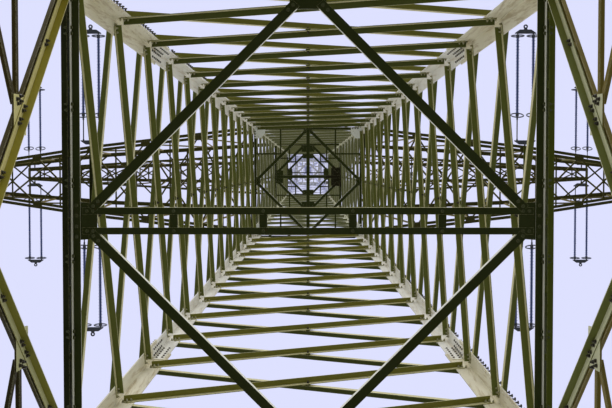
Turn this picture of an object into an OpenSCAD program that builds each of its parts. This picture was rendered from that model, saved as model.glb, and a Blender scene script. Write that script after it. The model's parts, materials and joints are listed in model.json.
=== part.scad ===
// Lattice transmission pylon, a scale model at half size.
// A straight-tapered square tower of rolled angles, with two pairs of cross-arms and a peak.
// Z is up, X runs along the arms and Y along the line. The origin is on the tower's axis, level with its feet.
// All sizes are the model's own: the real tower's are twice as large.

/* [Tower] */
// Width over the legs at the feet
base_w = 3683; // [3000:1:4420]
// Width over the legs at the top of the peak
peak_w = 161; // [130:1:220]
// Height of the peak
peak_z = 29350; // [28000:10:36000]
// Height of the joint between the two tall base panels
mid_z = 4350; // [3500:10:5250]
// Height of the waist frame
waist_z = 7775; // [6400:10:9000]
// Height of the bottom chords of the lower arms
low_arm_z = 17850; // [16500:10:20000]
// Height where the top chords of the lower arms start
low_top_z = 21150; // [20500:10:22500]
// Height of the bottom chords of the upper arms
up_arm_z = 23750; // [23000:10:25000]
// Height where the top chords of the upper arms start
up_top_z = 26450; // [25800:10:27400]

/* [Legs] */
// Flange width of the lower legs
leg_low_w = 125; // [100:1:150]
// Flange width of the middle legs
leg_mid_w = 110; // [90:1:125]
// Flange width of the upper legs
leg_top_w = 85; // [70:1:100]
// Flange width of the peak's legs
leg_peak_w = 36; // [32:1:44]
// Thickness of the leg flanges
leg_t = 10; // [8:0.5:12]
// Body panel that holds the splice between lower and middle legs, counted from the waist
splice_low_panel = 3; // [2:1:5]
// Panel beside the lower arms that holds the splice between middle and upper legs
splice_top_panel = 2; // [2:1:4]
// Length of the cover plates of the lower splice
splice_low_len = 420; // [340:10:510]
// Length of the cover plates of the upper splice
splice_top_len = 300; // [240:10:360]
// Width of a square base plate
foot_w = 300; // [260:5:380]
// Thickness of a base plate
foot_t = 18; // [12:1:25]
// Distance between anchor holes, both ways
anchor_pitch = 220; // [190:5:250]
// Radius of an anchor hole
anchor_r = 14; // [8:0.5:18]

/* [Bracing] */
// Crossed panels between the waist and the lower arms
body_panels = 12; // [10:1:14]
// Crossed panels beside the lower arms
low_panels = 6; // [5:1:7]
// Crossed panels between the arms
between_panels = 6; // [5:1:7]
// Crossed panels beside the upper arms
up_panels = 5; // [4:1:7]
// Crossed panels in the peak
peak_panels = 4; // [3:1:6]
// Flange width of the double-angle base diagonals
base_bar_w = 45; // [36:1:54]
// Flange width of the redundant members of the base
red_w = 32; // [25:1:38]
// Flange width of the body bracing
body_bar_w = 45; // [36:1:50]
// Flange width of the neck bracing up to the upper arms
neck_bar_w = 34; // [28:1:41]
// Flange width of the neck bracing beside the upper arms
up_bar_w = 20; // [16:1:24]
// Width of its standing flanges
up_bar_lip = 12; // [10:0.5:15]
// Flange width of the peak bracing
peak_bar_w = 16; // [14:1:20]
// Width of its standing flanges
peak_bar_lip = 10; // [8:0.5:12]
// Thickness of the bracing angles
bar_t = 5; // [4:0.5:6]
// Width of the plate where two base diagonals cross
cross_plate_w = 330; // [275:5:400]
// Height of the plate where two base diagonals cross
cross_plate_h = 240; // [200:5:290]
// Width of the plates that carry the redundant members
node_plate_w = 200; // [170:5:240]
// Room left above and below a plan frame for its joints
frame_gap = 115; // [100:5:140]

/* [Waist frame] */
// Flange width of the double-angle horizontals
waist_w = 48; // [40:1:58]
// Length of a mid-side gusset of the waist
waist_gusset_l = 226; // [190:2:270]
// Depth of a mid-side gusset of the waist
waist_gusset_d = 138; // [115:1:170]
// Flange width of the diamond braces
diamond_w = 55; // [44:1:62]
// Distance between the ends of two diamond braces at a gusset
diamond_gap = 186; // [150:2:220]
// Distance between the centres of the two tie bars
tie_pitch = 116; // [100:2:140]
// Flange width of the tie bars
tie_w = 40; // [32:1:44]
// Length of a batten plate between the tie bars
batten_l = 46; // [38:1:60]
// Distance between batten plates
batten_pitch = 518; // [430:2:560]

/* [Plan frames at the arms] */
// Flange width of the horizontals at the lower arms
low_ring_w = 35; // [29:1:42]
// Flange width of the diamond braces at the lower arms
low_brace_w = 40; // [33:1:48]
// Flange width of the horizontals at the upper arms
up_ring_w = 28; // [23:1:34]
// Flange width of the diamond braces at the upper arms
up_brace_w = 36; // [30:1:43]
// Width of the tie bars across the plan frames
frame_tie_w = 46; // [38:1:55]
// Width of each of the two narrow ties of the upper frame
twin_tie_w = 20; // [17:1:24]
// Distance between the two narrow ties of the upper frame
twin_tie_pitch = 53; // [44:1:64]
// Length of a mid-side plate of the frame at the lower arms' bottom chords
low_plate_l = 130; // [108:2:156]
// Depth of that plate
low_plate_d = 50; // [42:1:60]
// Length of a mid-side plate of the frame at the lower arms' top chords
high_plate_l = 230; // [192:2:276]
// Depth of that plate
high_plate_d = 110; // [92:2:132]
// Length of a mid-side plate of the frame at the upper arms' bottom chords
up_plate_l = 218; // [182:2:262]
// Depth of that plate
up_plate_d = 82; // [68:1:98]
// Length of the large plate on the right side, where the top chords of the lower arms start
rest_plate_l = 320; // [266:2:384]
// Depth of that plate
rest_plate_d = 140; // [116:2:168]

/* [Lower arms] */
// Reach of the lower arms from the tower's axis
low_reach = 5600; // [4660:10:6720]
// Distance of the inner attachment from the tower's axis
low_kink = 3050; // [2540:10:3660]
// Width of the lower arms at the inner attachment
low_kink_w = 1000; // [830:10:1200]
// Distance between their top chords at the inner attachment
low_kink_top_w = 800; // [660:10:960]
// Width of the lower arms at the tip
low_tip_w = 210; // [196:1:252]
// Length of the first outer bay, next to the inner attachment
low_first_bay = 770; // [640:10:930]
// Bays between the tower and the inner attachment
low_inner_bays = 3; // [3:1:4]
// Bays between the first outer bay and the tip
low_outer_bays = 3; // [2:1:4]
// Distance of the outer insulator sets from the tip
low_set_in = 120; // [100:1:145]

/* [Upper arms] */
// Reach of the upper arms from the tower's axis
up_reach = 5290; // [4400:5:6350]
// Width of the upper arms at the tip
up_tip_w = 230; // [190:1:276]
// Bays of the upper arms
up_bays = 8; // [7:1:10]
// Distance of the insulator sets from the tip
up_set_in = 110; // [91:1:132]

/* [Arm members] */
// Flange width of the bottom chords
chord_w = 40; // [33:1:48]
// Gap between the two angles of a lower arm's bottom chord
chord_gap = 14; // [11:1:17]
// Flange width of the top chords
top_chord_w = 60; // [50:1:72]
// Thickness of the chords
chord_t = 6; // [5:0.5:7]
// Flange width of the arm bracing
lace_w = 22; // [18:1:26]
// Thickness of the arm bracing
lace_t = 4; // [3:0.5:5]
// Depth of an arm at its tip
tip_depth = 150; // [120:5:200]

/* [Insulator sets] */
// Distance of the inner sets' rods from the middle plane of the arms
inner_rod_y = 957; // [880:1:1150]
// Distance of the other sets' rods from the middle plane of the arms
outer_rod_y = 515; // [430:1:620]
// Length of an insulator rod between its end fittings
rod_l = 1050; // [880:10:1260]
// Radius of an insulator rod
rod_r = 22; // [16:1:28]
// Distance between the two rods of a set
rod_pitch = 220; // [180:5:260]
// Length of a rod's end fitting
rod_cap = 70; // [58:1:84]
// Radius of an arcing ring
ring_r = 88; // [74:1:104]
// Tilt of an arcing ring from square to its rod
ring_tilt = 20; // [0:1:30]
// Radius of the bar that an arcing ring is bent from
ring_bar_r = 9; // [6:0.5:11]
// Radius of the pin hole in the outer yoke plate
pin_r = 12; // [8:0.5:15]

/* [Hidden] */
$fn = 48;

// Paint and steel
olive = "#5c5a30";
dark_olive = "#3c4020";
leg_cream = "#c3c3ab";
glaze = "#42557a";

// Loss of half the width for each millimetre of height, and the lean of a side and of a leg
slope = (base_w - peak_w) / peak_z / 2;
side_lean = atan(slope);
leg_lean = atan(slope * sqrt(2));
// Small overlap that fuses two members of one piece
bite = 1;
// Step by which faces of fused members are kept out of one plane
step = 0.6;
// Clearance where members of neighbouring sides come close
clear = 4;
// Distance of a base plate's centre inside the width over the legs
foot_in = leg_low_w / 3;
// Distance of a splice cover from the edges of the flange
cover_edge = 11;
// Part of a leg flange left free beside the end of an outer bar
outer_end = 0.3;
// Width of a spacer at a crossing, as a part of the bar's width
spacer_part = 0.8;
// Where the redundant members meet a base diagonal, as a part of its way from the corner to the crossing
red_node = 0.56;
// Distance above and below the crossing where the next redundant members meet the leg
red_gap = 60;
// Length of the stitch plates between two angles, and how far they stay inside the flanges
stitch_l = 40;
stitch_edge = 4;
// Where the stitch plates of a base diagonal lie, as parts of the way from the corner to the crossing
diagonal_stitches = [0.28, 0.8];
// Stitch plates in a horizontal of the waist
waist_stitches = 7;
// Distance between the stitch plates of a plan frame's horizontal, as a part of its half length
ring_stitch = 0.4;
// Distance from the crossing to the start of the second base diagonal, in widths of its flange
cross_room = 1.5;
// Batten plates between the tie bars of the waist
battens = 4;
// Size of the plates of the topmost plan frame, as a part of the frame below
top_plate_part = 0.35;
// Distance of a plan plate's edge from the leg flange
plate_edge = 8;
// Taper of a plan plate at each end
plate_taper = 10;
// How far an arm's plate on the leg starts inside the flange and reaches past the leg, and its height
arm_plate_in = 12;
arm_plate_out = 150;
arm_plate_h = 110;
// Distance of the chords' ends outside the leg
arm_off = 6;
// Distance of the peak's legs above the top plan frame, where they start to lap the upper legs
peak_lap = 12;
// Room at the ends of the peak's panels
peak_room = 60;
// Thickness of the peak's cap plate
cap_t = 12;
// Room for the joints at a tall base panel's ends
base_gap = frame_gap + 20;
// Room at the ends of a bay's lacing, in the first and last bay and in the others
end_room = 60;
lace_room = 14;
// Length of a batten in a twin chord
chord_batten_l = 60;
// Depth under the top chords where the side lacing ends, and where it starts near the leg
under_top = 16;
first_lace = 120;
// Rise of a diagonal's foot above the foot of its post
diagonal_rise = 12;
// Thickness of an arm's end plate, and its edge above the top chords
tip_t = 8;
tip_edge = 10;
// Clearance of pieces that are bolted to each other
touch = 0.3;
// Width and height of an insulator link
link_w = 20;
link_h = 24;
// Thickness and depth of a yoke plate, and how far it reaches past the rods
yoke_t = 14;
yoke_d = 60;
yoke_edge = 40;
// Overlap of a yoke plate with the rods' end fittings
yoke_lap = 10;
// Width and length of the eye plate, and the place of its hole from the yoke
eye_w = 70;
eye_l = 90;
eye_hole = 55;
eye_lap = 15;
// Distance of an arcing ring outside the rod's end
ring_out = 30;
// Radius of a rod's end fitting, as a part of the rod's radius
cap_part = 0.7;
// Thickness of a ring's spoke, as a part of the ring bar's radius
spoke_part = 1.4;

function w_at(z) = base_w - 2 * slope * z;
function half(z) = w_at(z) / 2;
function unit(v) = v / norm(v);
function side_of(k) = k < 0 ? -1 : 1;
// Height of node i of n, on panels whose heights keep one proportion to the width
function node_z(z0, z1, n, i) = (base_w - w_at(z0) * pow(w_at(z1) / w_at(z0), i / n)) / (2 * slope);
// A point of a side in that side's own plane, x across and y up the slope
function on_side(x, z) = [x, z / cos(side_lean), 0];
// The point of line a-b at a given x
function at_x(a, b, x) = a + (b - a) * (x - a.x) / (b.x - a.x);
// Middle of panel n, counted from 1, of a stack of count panels
function panel_mid(z0, z1, count, n) = (node_z(z0, z1, count, n - 1) + node_z(z0, z1, count, n)) / 2;

body_z = [waist_z + frame_gap, low_arm_z - frame_gap];
low_neck_z = [low_arm_z + frame_gap, low_top_z - frame_gap];
splice_low_z = panel_mid(body_z[0], body_z[1], body_panels, splice_low_panel);
splice_top_z = panel_mid(low_neck_z[0], low_neck_z[1], low_panels, splice_top_panel);

// Flange width of the leg at a height
function leg_w(z) = z < splice_low_z ? leg_low_w : z < splice_top_z ? leg_mid_w : leg_top_w;

// Rolled angle section with its heel at the origin
module ell(w, t, w2) {
    h = is_undef(w2) ? w : w2;
    polygon([[0, 0], [w, 0], [w, t], [t, t], [t, h], [0, h]]);
}

// Angle bar with its heel on the line p-q. The first flange lies at right angles to the normal n,
// and the second, w2 wide, stands along n.
module angle_bar(p, q, n, w, t, w2) {
    d = unit(q - p);
    s = unit(cross(n, d));
    m = cross(d, s);
    multmatrix([[d.x, s.x, m.x, p.x], [d.y, s.y, m.y, p.y], [d.z, s.z, m.z, p.z], [0, 0, 0, 1]])
        rotate([90, 0, 90]) linear_extrude(norm(q - p)) ell(w, t, w2);
}

// Frame of one side: x across, y up the slope, z outwards. Side 0 is the front, 1 the right.
module on_face(k) {
    rotate([0, 0, 90 * k]) translate([0, -base_w / 2, 0]) rotate([90 - side_lean, 0, 0]) children();
}

// Frame of one corner: z up the leg, x and y along its two flanges. Corner 0 is front right.
module on_corner(k) {
    rotate([0, 0, 90 * k]) translate([base_w / 2, -base_w / 2, 0])
        rotate([0, 0, 135]) rotate([0, leg_lean, 0]) rotate([0, 0, -45]) children();
}

// Length of leg between two heights
module leg_angle(z0, z1, w, t) {
    up = 1 / cos(leg_lean);
    translate([0, 0, z0 * up]) linear_extrude((z1 - z0) * up) ell(w, t);
}

// Cover plates over both flanges of a leg splice, outside and inside
module splice_plates(z, w, length) {
    translate([0, 0, z / cos(leg_lean) - length / 2]) for (turn = [0, 1]) mirror([turn, -turn, 0]) {
        translate([cover_edge, -bar_t, 0]) cube([w - 2 * cover_edge, bar_t, length]);
        translate([leg_t + cover_edge, leg_t, 0]) cube([w - leg_t - 2 * cover_edge, bar_t, length]);
    }
}

module foot_plate() {
    at = base_w / 2 - foot_in;
    translate([at, -at, 0]) difference() {
        translate([-foot_w / 2, -foot_w / 2, 0]) cube([foot_w, foot_w, foot_t]);
        for (x = [-1, 1], y = [-1, 1])
            translate([x * anchor_pitch / 2, y * anchor_pitch / 2, -1])
                cylinder(r = anchor_r, h = foot_t + 2);
    }
}

module lower_leg(k) {
    color(leg_cream) union() {
        on_corner(k) leg_angle(foot_t / 2, splice_low_z, leg_low_w, leg_t);
        rotate([0, 0, 90 * k]) foot_plate();
    }
}

module middle_leg(k) {
    color(leg_cream) on_corner(k) union() {
        leg_angle(splice_low_z, splice_top_z, leg_mid_w, leg_t);
        splice_plates(splice_low_z, leg_mid_w, splice_low_len);
    }
}

module upper_leg(k) {
    color(olive) on_corner(k) union() {
        leg_angle(splice_top_z, up_top_z + frame_gap, leg_top_w, leg_t);
        splice_plates(splice_top_z, leg_top_w, splice_top_len);
    }
}

// One bar of a crossed panel, on the line a-b between the given ends. An inner bar lies inside the leg.
module cross_bar(a, b, x0, x1, w, t, inner, depth, lip) {
    p = at_x(a, b, x0) + [0, 0, inner ? -depth : 0];
    q = at_x(a, b, x1) + [0, 0, inner ? -depth : 0];
    n = inner ? [0, 0, -1] : [0, 0, 1];
    rise = unit([a.y - b.y, b.x - a.x, 0]) * side_of(b.x - a.x) * w / 2;
    if (inner) angle_bar(p + rise, q + rise, n, w, t, lip);
    else angle_bar(q + rise, p + rise, n, w, t, lip);
}

// Crossed panel between two heights: one bar inside the leg flange, one outside, and a spacer between them
module cross_panel(z0, z1, w, t, leg, depth, lip) {
    e0 = half(z0) - leg / 2;
    e1 = half(z1) - leg / 2;
    inset = depth + lip + 2 * clear;
    low_l = on_side(-e0, z0);
    low_r = on_side(e0, z0);
    top_l = on_side(-e1, z1);
    top_r = on_side(e1, z1);
    outer = leg * outer_end;
    cross_bar(top_l, low_r, -(half(z1) - inset), half(z0) - inset, w, t, true, depth, lip);
    cross_bar(low_l, top_r, -(half(z0) - outer), half(z1) - outer, w, t, false, depth, lip);
    mid = on_side(0, z0 + (z1 - z0) * e0 / (e0 + e1));
    spacer = w * spacer_part;
    translate(mid - [spacer / 2, spacer / 2, depth + bite / 2]) cube([spacer, spacer, depth + bite]);
}

// Stack of n crossed panels, their bars' standing flanges lip wide
module panels(z0, z1, n, w, t, depth, lip) {
    for (i = [0 : n - 1]) {
        a = node_z(z0, z1, n, i);
        b = node_z(z0, z1, n, i + 1);
        cross_panel(a, b, w, t, min(leg_w(a), leg_w(b)), depth, lip);
    }
}

// Pair of angles back to back, one on each side of the leg flange and ease away from it
module double_bar(p, q, w, t, ease = 0) {
    d = unit(q - p);
    up = [-d.y, d.x, 0] * side_of(d.x) * w / 2;
    fwd = side_of(d.x) > 0;
    a = (fwd ? p : q) + up;
    b = (fwd ? q : p) + up;
    angle_bar(a - [0, 0, leg_t + ease], b - [0, 0, leg_t + ease], [0, 0, -1], w, t);
    angle_bar(b + [0, 0, ease], a + [0, 0, ease], [0, 0, 1], w, t);
}

// Plate in the leg flange plane between double angles, slightly thicker so that it fuses with them
module side_gusset(c, w, h, tilt) {
    translate([c.x, c.y, -leg_t - bite / 2]) rotate([0, 0, tilt]) translate([-w / 2, -h / 2, 0])
        cube([w, h, leg_t + bite]);
}

// Base diagonal: a double angle, held together by stitch plates on the way from its corners to the crossing
module base_diagonal(p, q, corners, mid) {
    double_bar(p, q, base_bar_w, bar_t, touch);
    for (corner = corners, part = diagonal_stitches)
        side_gusset(corner + (mid - corner) * part, stitch_l, base_bar_w - 2 * stitch_edge,
                    atan((q.y - p.y) / (q.x - p.x)));
}

// Plate in the plane of the leg flange, between the angles of a diagonal
module flat_plate(c, w, h) {
    translate([c.x - w / 2, c.y - h / 2, -leg_t]) cube([w, h, leg_t]);
}

// Tall base panel: crossed double angles, a centre plate, and redundant members to the legs.
// The diagonals, the centre plate and the plates with the redundant members are pieces of their own.
module base_panel(z0, z1) {
    e0 = half(z0) - leg_low_w / 2;
    e1 = half(z1) - leg_low_w / 2;
    zc = z0 + (z1 - z0) * e0 / (e0 + e1);
    inset = leg_t + base_bar_w + 2 * clear;
    mid = on_side(0, zc);
    low = on_side(-e0, z0);
    top = on_side(e1, z1);
    flat_plate(mid, cross_plate_w, cross_plate_h);
    // the first diagonal runs through, the second stops short of it on either side
    base_diagonal(at_x(low, top, -(half(z0) - inset)), at_x(low, top, half(z1) - inset), [low, top], mid);
    for (far = [[on_side(-e1, z1), -(half(z1) - inset)], [on_side(e0, z0), half(z0) - inset]])
        base_diagonal(mid + unit(far[0] - mid) * (base_bar_w * cross_room), at_x(mid, far[0], far[1]),
                      [far[0]], mid);
    // a plate on each half diagonal carries two redundant members
    for (s = [-1, 1], end = [[z1, e1], [z0, e0]]) {
        g = on_side(s * end[1], end[0]) * (1 - red_node) + mid * red_node;
        gz = g.y * cos(side_lean);
        flat_plate(g, node_plate_w, node_plate_w);
        redundant(g, on_side(s * (half(gz) - leg_low_w * outer_end), gz));
        redundant(g, on_side(s * (half(zc) - leg_low_w * outer_end), zc + side_of(end[0] - zc) * red_gap));
    }
}

// Redundant member: a single angle on the outer face of the leg flange. It starts beside the diagonal, on the
// plate whose centre is g.
module redundant(g, end) {
    d = unit(end - g);
    start = g + d * (base_bar_w / 2 + red_w);
    drop = [0, 0, -bite / 4];
    up = [-d.y, d.x, 0] * side_of(d.x) * red_w / 2;
    if (d.x > 0) angle_bar(end + up + drop, start + up + drop, [0, 0, 1], red_w, bar_t);
    else angle_bar(start + up + drop, end + up + drop, [0, 0, 1], red_w, bar_t);
}

module base_bracing(k) {
    color(olive) on_face(k) union() {
        base_panel(foot_t + base_gap, mid_z - base_gap / 2);
        base_panel(mid_z + base_gap / 2, waist_z - base_gap);
    }
}

module body_bracing(k) {
    color(olive) on_face(k) panels(body_z[0], body_z[1], body_panels, body_bar_w, bar_t, leg_t, body_bar_w);
}

module neck_bracing(k) {
    color(olive) on_face(k) {
        panels(low_neck_z[0], low_neck_z[1], low_panels, neck_bar_w, bar_t, leg_t, neck_bar_w);
        panels(low_top_z + frame_gap, up_arm_z - frame_gap, between_panels, neck_bar_w, bar_t, leg_t,
               neck_bar_w);
        panels(up_arm_z + frame_gap, up_top_z - frame_gap, up_panels, up_bar_w, bar_t - 1, leg_t,
               up_bar_lip);
    }
}

// Horizontals of the waist: double angles round the four sides, with stitch plates between them
module waist_frame() {
    stitch = w_at(waist_z) / waist_stitches;
    last = (waist_stitches - 1) / 2;
    color(dark_olive) for (k = [0 : 3]) on_face(k) union() {
        x = half(waist_z) - leg_t - waist_w - clear;
        double_bar(on_side(-x, waist_z), on_side(x, waist_z), waist_w, bar_t);
        for (i = [-last : last])
            side_gusset(on_side(i * stitch, waist_z), stitch_l, waist_w - 2 * stitch_edge, 0);
    }
}

// Height of the top of the waist's horizontals
function waist_top() = waist_z + waist_w / 2 * cos(side_lean);

// Flat plate with its outline given in plan, lying on height z
module plan_plate(points, z, t) {
    translate([0, 0, z]) linear_extrude(t) polygon(points);
}

// Diamond brace in plan between two points, its standing flange on the side of the axis
module diamond_brace(p, q, z, w, t) {
    a = [p.x, p.y, z];
    b = [q.x, q.y, z];
    to_axis = unit([-p.x - q.x, -p.y - q.y, 0]);
    // the heel is on the side of the axis and the flat flange below the gusset
    heel = w * to_axis;
    if (cross(b - a, [0, 0, 1]) * to_axis > 0) angle_bar(a + heel, b + heel, [0, 0, 1], w, t);
    else angle_bar(b + heel, a + heel, [0, 0, 1], w, t);
}

// Plan plate at the middle of one side: its outer edge at y, and l long and d deep
module mid_plate(y, l, d, z) {
    plan_plate([[-l / 2, y], [l / 2, y], [l / 2 - plate_taper, y + d], [-l / 2 + plate_taper, y + d]],
               z, bar_t);
}

module waist_plan_bracing() {
    z = waist_top() - (leg_t + plate_edge) * sin(side_lean);
    inner = half(waist_z) - leg_t - plate_edge;
    brace_z = z - bar_t + bite;
    // the braces start clear of the horizontals' flanges
    free = inner - waist_w + plate_edge - clear - diamond_w * sqrt(0.5);
    near = diamond_gap / 2 - clear;
    color(dark_olive) union() {
        for (k = [0 : 3]) rotate([0, 0, 90 * k])
            mid_plate(-inner, waist_gusset_l, waist_gusset_d, z);
        for (k = [0 : 3]) rotate([0, 0, 90 * k])
            diamond_brace([near, -free], [free, -near], brace_z, diamond_w, bar_t);
        for (s = [-1, 1]) {
            y = s * (tie_pitch / 2 + tie_w / 2);
            x = inner - waist_w - clear;
            angle_bar([s * x, y, brace_z + step], [-s * x, y, brace_z + step], [0, 0, 1], tie_w, bar_t);
        }
        for (i = [0 : battens - 1])
            translate([(i - (battens - 1) / 2) * batten_pitch - batten_l / 2,
                       -tie_pitch / 2 - tie_w / 2 + bar_t, brace_z + bar_t - bite])
                cube([batten_l, tie_pitch + tie_w - 2 * bar_t, bar_t]);
    }
}

// Height of the underside of the plates that rest on a frame's horizontals
function ring_seat(z, w) = z + w / 2 * cos(side_lean) - (leg_t + w) * sin(side_lean) - bite;
// Distance of a horizontal's free edge from the axis
function ring_free(z, w) = half(z) - leg_t - w;

// Double-angle horizontal of one side. The outer angle stops short of the arms' plates on the legs.
module ring_side(z, w) {
    up = on_side(0, z).y + w / 2;
    x = half(z) - leg_t - w - clear;
    x_out = half(z) - leg_w(z) + arm_plate_in - clear;
    angle_bar([-x, up, -leg_t], [x, up, -leg_t], [0, 0, -1], w, bar_t);
    angle_bar([x_out, up, 0], [-x_out, up, 0], [0, 0, 1], w, bar_t);
    for (i = [-2 : 2]) side_gusset(on_side(i * x_out * ring_stitch, z), stitch_l, w - 2 * stitch_edge, 0);
}

// Plan frame at one height: horizontals, a plate at each mid-side, a diamond of braces between the plates, and
// two thin struts from the middle of each brace to the horizontals
module plan_frame(z, w, brace, plate_l, plate_d) {
    seat = ring_seat(z, w);
    free = ring_free(z, w);
    brace_z = seat - bar_t + bite;
    near = (plate_l - brace) / 2;
    mid = (free + near) / 2;
    for (k = [0 : 3]) {
        on_face(k) ring_side(z, w);
        rotate([0, 0, 90 * k]) {
            mid_plate(-(free + w - plate_edge), plate_l, plate_d + w - plate_edge, seat);
            diamond_brace([near, -free + clear], [free - clear, -near], brace_z, brace, bar_t);
            for (turn = [0, 1]) mirror([turn, turn, 0])
                plan_lace([mid, -free - clear, brace_z - step], [mid, -mid + clear, brace_z - step]);
        }
    }
}

// Tie bar across a plan frame at a distance from the axis, turned by 90 degrees or not
module plan_tie(z, ring, w, at, turn) {
    x = ring_free(z, ring) + clear;
    h = ring_seat(z, ring) - bar_t + bite + step * (turn ? 1 : 2);
    rotate([0, 0, turn ? 90 : 0]) angle_bar([-x, at - w / 2, h], [x, at - w / 2, h], [0, 0, 1], w, bar_t);
}

module plan_frames_low_arm() {
    color(dark_olive) {
        union() {
            plan_frame(low_arm_z, low_ring_w, low_brace_w, low_plate_l, low_plate_d);
            plan_tie(low_arm_z, low_ring_w, frame_tie_w, 0, true);
        }
        union() {
            plan_frame(low_top_z, low_ring_w, low_brace_w, high_plate_l, high_plate_d);
            plan_tie(low_top_z, low_ring_w, frame_tie_w, 0, true);
            plan_tie(low_top_z, low_ring_w, frame_tie_w, 0, false);
            rotate([0, 0, 90])
                mid_plate(-ring_free(low_top_z, low_ring_w) - low_ring_w + plate_edge, rest_plate_l,
                          rest_plate_d + low_ring_w - plate_edge, ring_seat(low_top_z, low_ring_w) + step);
        }
    }
}

module plan_frames_up_arm() {
    color(dark_olive) {
        union() {
            plan_frame(up_arm_z, up_ring_w, up_brace_w, up_plate_l, up_plate_d);
            plan_tie(up_arm_z, up_ring_w, frame_tie_w, 0, true);
            for (s = [-1, 1]) plan_tie(up_arm_z, up_ring_w, twin_tie_w, s * twin_tie_pitch / 2, false);
        }
        plan_frame(up_top_z, up_ring_w, up_brace_w, up_plate_l * top_plate_part,
                   up_plate_d * top_plate_part);
    }
}

// The peak's legs lap the upper legs from inside, so its panels lie one leg thickness further in
module peak() {
    foot = up_top_z + frame_gap + peak_room;
    color(olive) union() {
        for (k = [0 : 3]) {
            on_corner(k) translate([leg_t, leg_t, 0])
                leg_angle(up_top_z + up_ring_w / 2 + peak_lap, peak_z - cap_t / 2, leg_peak_w, bar_t);
            on_face(k) translate([0, 0, -leg_t])
                for (i = [0 : peak_panels - 1])
                    cross_panel(node_z(foot, peak_z - peak_room, peak_panels, i),
                                node_z(foot, peak_z - peak_room, peak_panels, i + 1),
                                peak_bar_w, bar_t - 1, leg_peak_w + leg_t, bar_t, peak_bar_lip);
        }
        translate([-peak_w / 2, -peak_w / 2, peak_z - cap_t]) difference() {
            cube([peak_w, peak_w, cap_t]);
            translate([peak_w / 2, peak_w / 2, -1]) cylinder(r = pin_r, h = cap_t + 2);
        }
    }
}

// Stations along an arm: n bays between each two of the given distances
function stations(stops, bays) = concat(
    [for (j = [0 : len(bays) - 1], i = [0 : bays[j] - 1])
        stops[j] + (stops[j + 1] - stops[j]) * i / bays[j]],
    [stops[len(stops) - 1]]);

// Outline between two distances inside a line, on side s of the arm
module strip(line, s, a, b) {
    polygon(concat([for (p = line) [p[0], s * (p[1] - a)]],
                   [for (j = [len(line) - 1 : -1 : 0]) [line[j][0], s * (line[j][1] - b)]]));
}

// Angle bent along a line. Its flat flange runs from a to b inside the line, and its other one stands at a.
module bent_angle(line, s, a, b) {
    last = len(line) - 1;
    turn = side_of(b - a);
    near = line[0] - unit(line[1] - line[0]) * chord_w;
    far = line[last] + unit(line[last] - line[last - 1]) * chord_w;
    longer = concat([near], last > 1 ? [for (j = [1 : last - 1]) line[j]] : [], [far]);
    difference() {
        linear_extrude(abs(b - a)) strip(line, s, a, b);
        translate([0, 0, chord_t]) linear_extrude(abs(b - a))
            strip(longer, s, a + turn * chord_t, b + turn * chord_w);
    }
}

// Batten between the two angles of a twin chord
module chord_batten(plan, x, s) {
    ends = [for (e = [x - chord_batten_l / 2, x + chord_batten_l / 2])
        [e, lookup(e, plan) - chord_w + bite]];
    translate([0, 0, chord_t + stitch_edge]) linear_extrude(chord_w - chord_t - 2 * stitch_edge)
        strip(ends, s, 0, chord_gap + 2 * bite);
}

// Bottom chord of one side: one angle, or two back to back with battens between them
module bottom_chord(plan, xs, s, twin) {
    if (twin) {
        bent_angle(plan, s, chord_w, 0);
        bent_angle(plan, s, chord_w + chord_gap, 2 * chord_w + chord_gap);
        for (i = [1 : len(xs) - 2]) chord_batten(plan, xs[i], s);
    } else bent_angle(plan, s, 0, chord_w);
}

// Distance from a chord's line to the standing flange that the side lacing meets
function lace_in(twin) = twin ? chord_w + chord_gap + chord_t : chord_t;

// Lacing angle whose flat flange lies on the line p-q
module plan_lace(p, q) {
    d = unit(q - p);
    s = unit(cross([0, 0, 1], d));
    angle_bar(p - s * lace_w / 2, q - s * lace_w / 2, [0, 0, 1], lace_w, lace_t);
}

// Crossed lacing in bays first to last, its ends inside the line by inset, and a strut at each crossing.
// The three flat flanges of a bay lie a step apart under height h.
module crossed_bays(xs, line, inset, h, first, last) {
    for (i = [first : last]) {
        xa = xs[i] + (i == 0 ? end_room : lace_room);
        xb = xs[i + 1] - (i == len(xs) - 2 ? end_room : lace_room);
        ya = lookup(xa, line) - inset;
        yb = lookup(xb, line) - inset;
        plan_lace([xa, -ya, h], [xb, yb, h]);
        plan_lace([xa, ya, h - step], [xb, -yb, h - step]);
        xc = xa + (xb - xa) * ya / (ya + yb);
        yc = lookup(xc, line) - inset;
        plan_lace([xc, -yc, h - 2 * step], [xc, yc, h - 2 * step]);
    }
}

// Bottom frame of an arm: two chords, crossed bays in plan, and the end plate
module arm_bottom(z, plan, xs, twin) {
    tip = plan[len(plan) - 1];
    translate([0, 0, z]) {
        for (s = [-1, 1]) bottom_chord(plan, xs, s, twin);
        crossed_bays(xs, plan, lace_in(twin) + chord_t, chord_t - bite, 0, len(xs) - 2);
        translate([tip[0] - tip_t / 2, -tip[1], 0]) cube([tip_t, 2 * tip[1], tip_depth]);
    }
}

// Fall of an arm's top plane, from its foot at the leg to the tip
function fall_of(z, top, foot_z) =
    atan((foot_z - z - tip_depth + tip_edge) / (top[len(top) - 1][0] - top[0][0]));
// The same points with their distances measured along the fall
function slant(top, fall) = [for (p = top) [(p[0] - top[0][0]) / cos(fall), p[1]]];
// Point inside the hanging flange of the top chord at a given distance along the arm
function under_chord(x, s, top, foot_z, fall) =
    [x, s * (lookup(x, top) - chord_t), foot_z - (x - top[0][0]) * tan(fall) - under_top];

// Frame of an arm's top plane: x down along the arm, z out of the plane
module on_top(top, foot_z, fall) {
    translate([top[0][0], 0, foot_z]) rotate([0, fall, 0]) children();
}

module side_lace(p, q, s) {
    angle_bar(p, q, [0, -s, 0], lace_w, lace_t);
}

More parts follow.
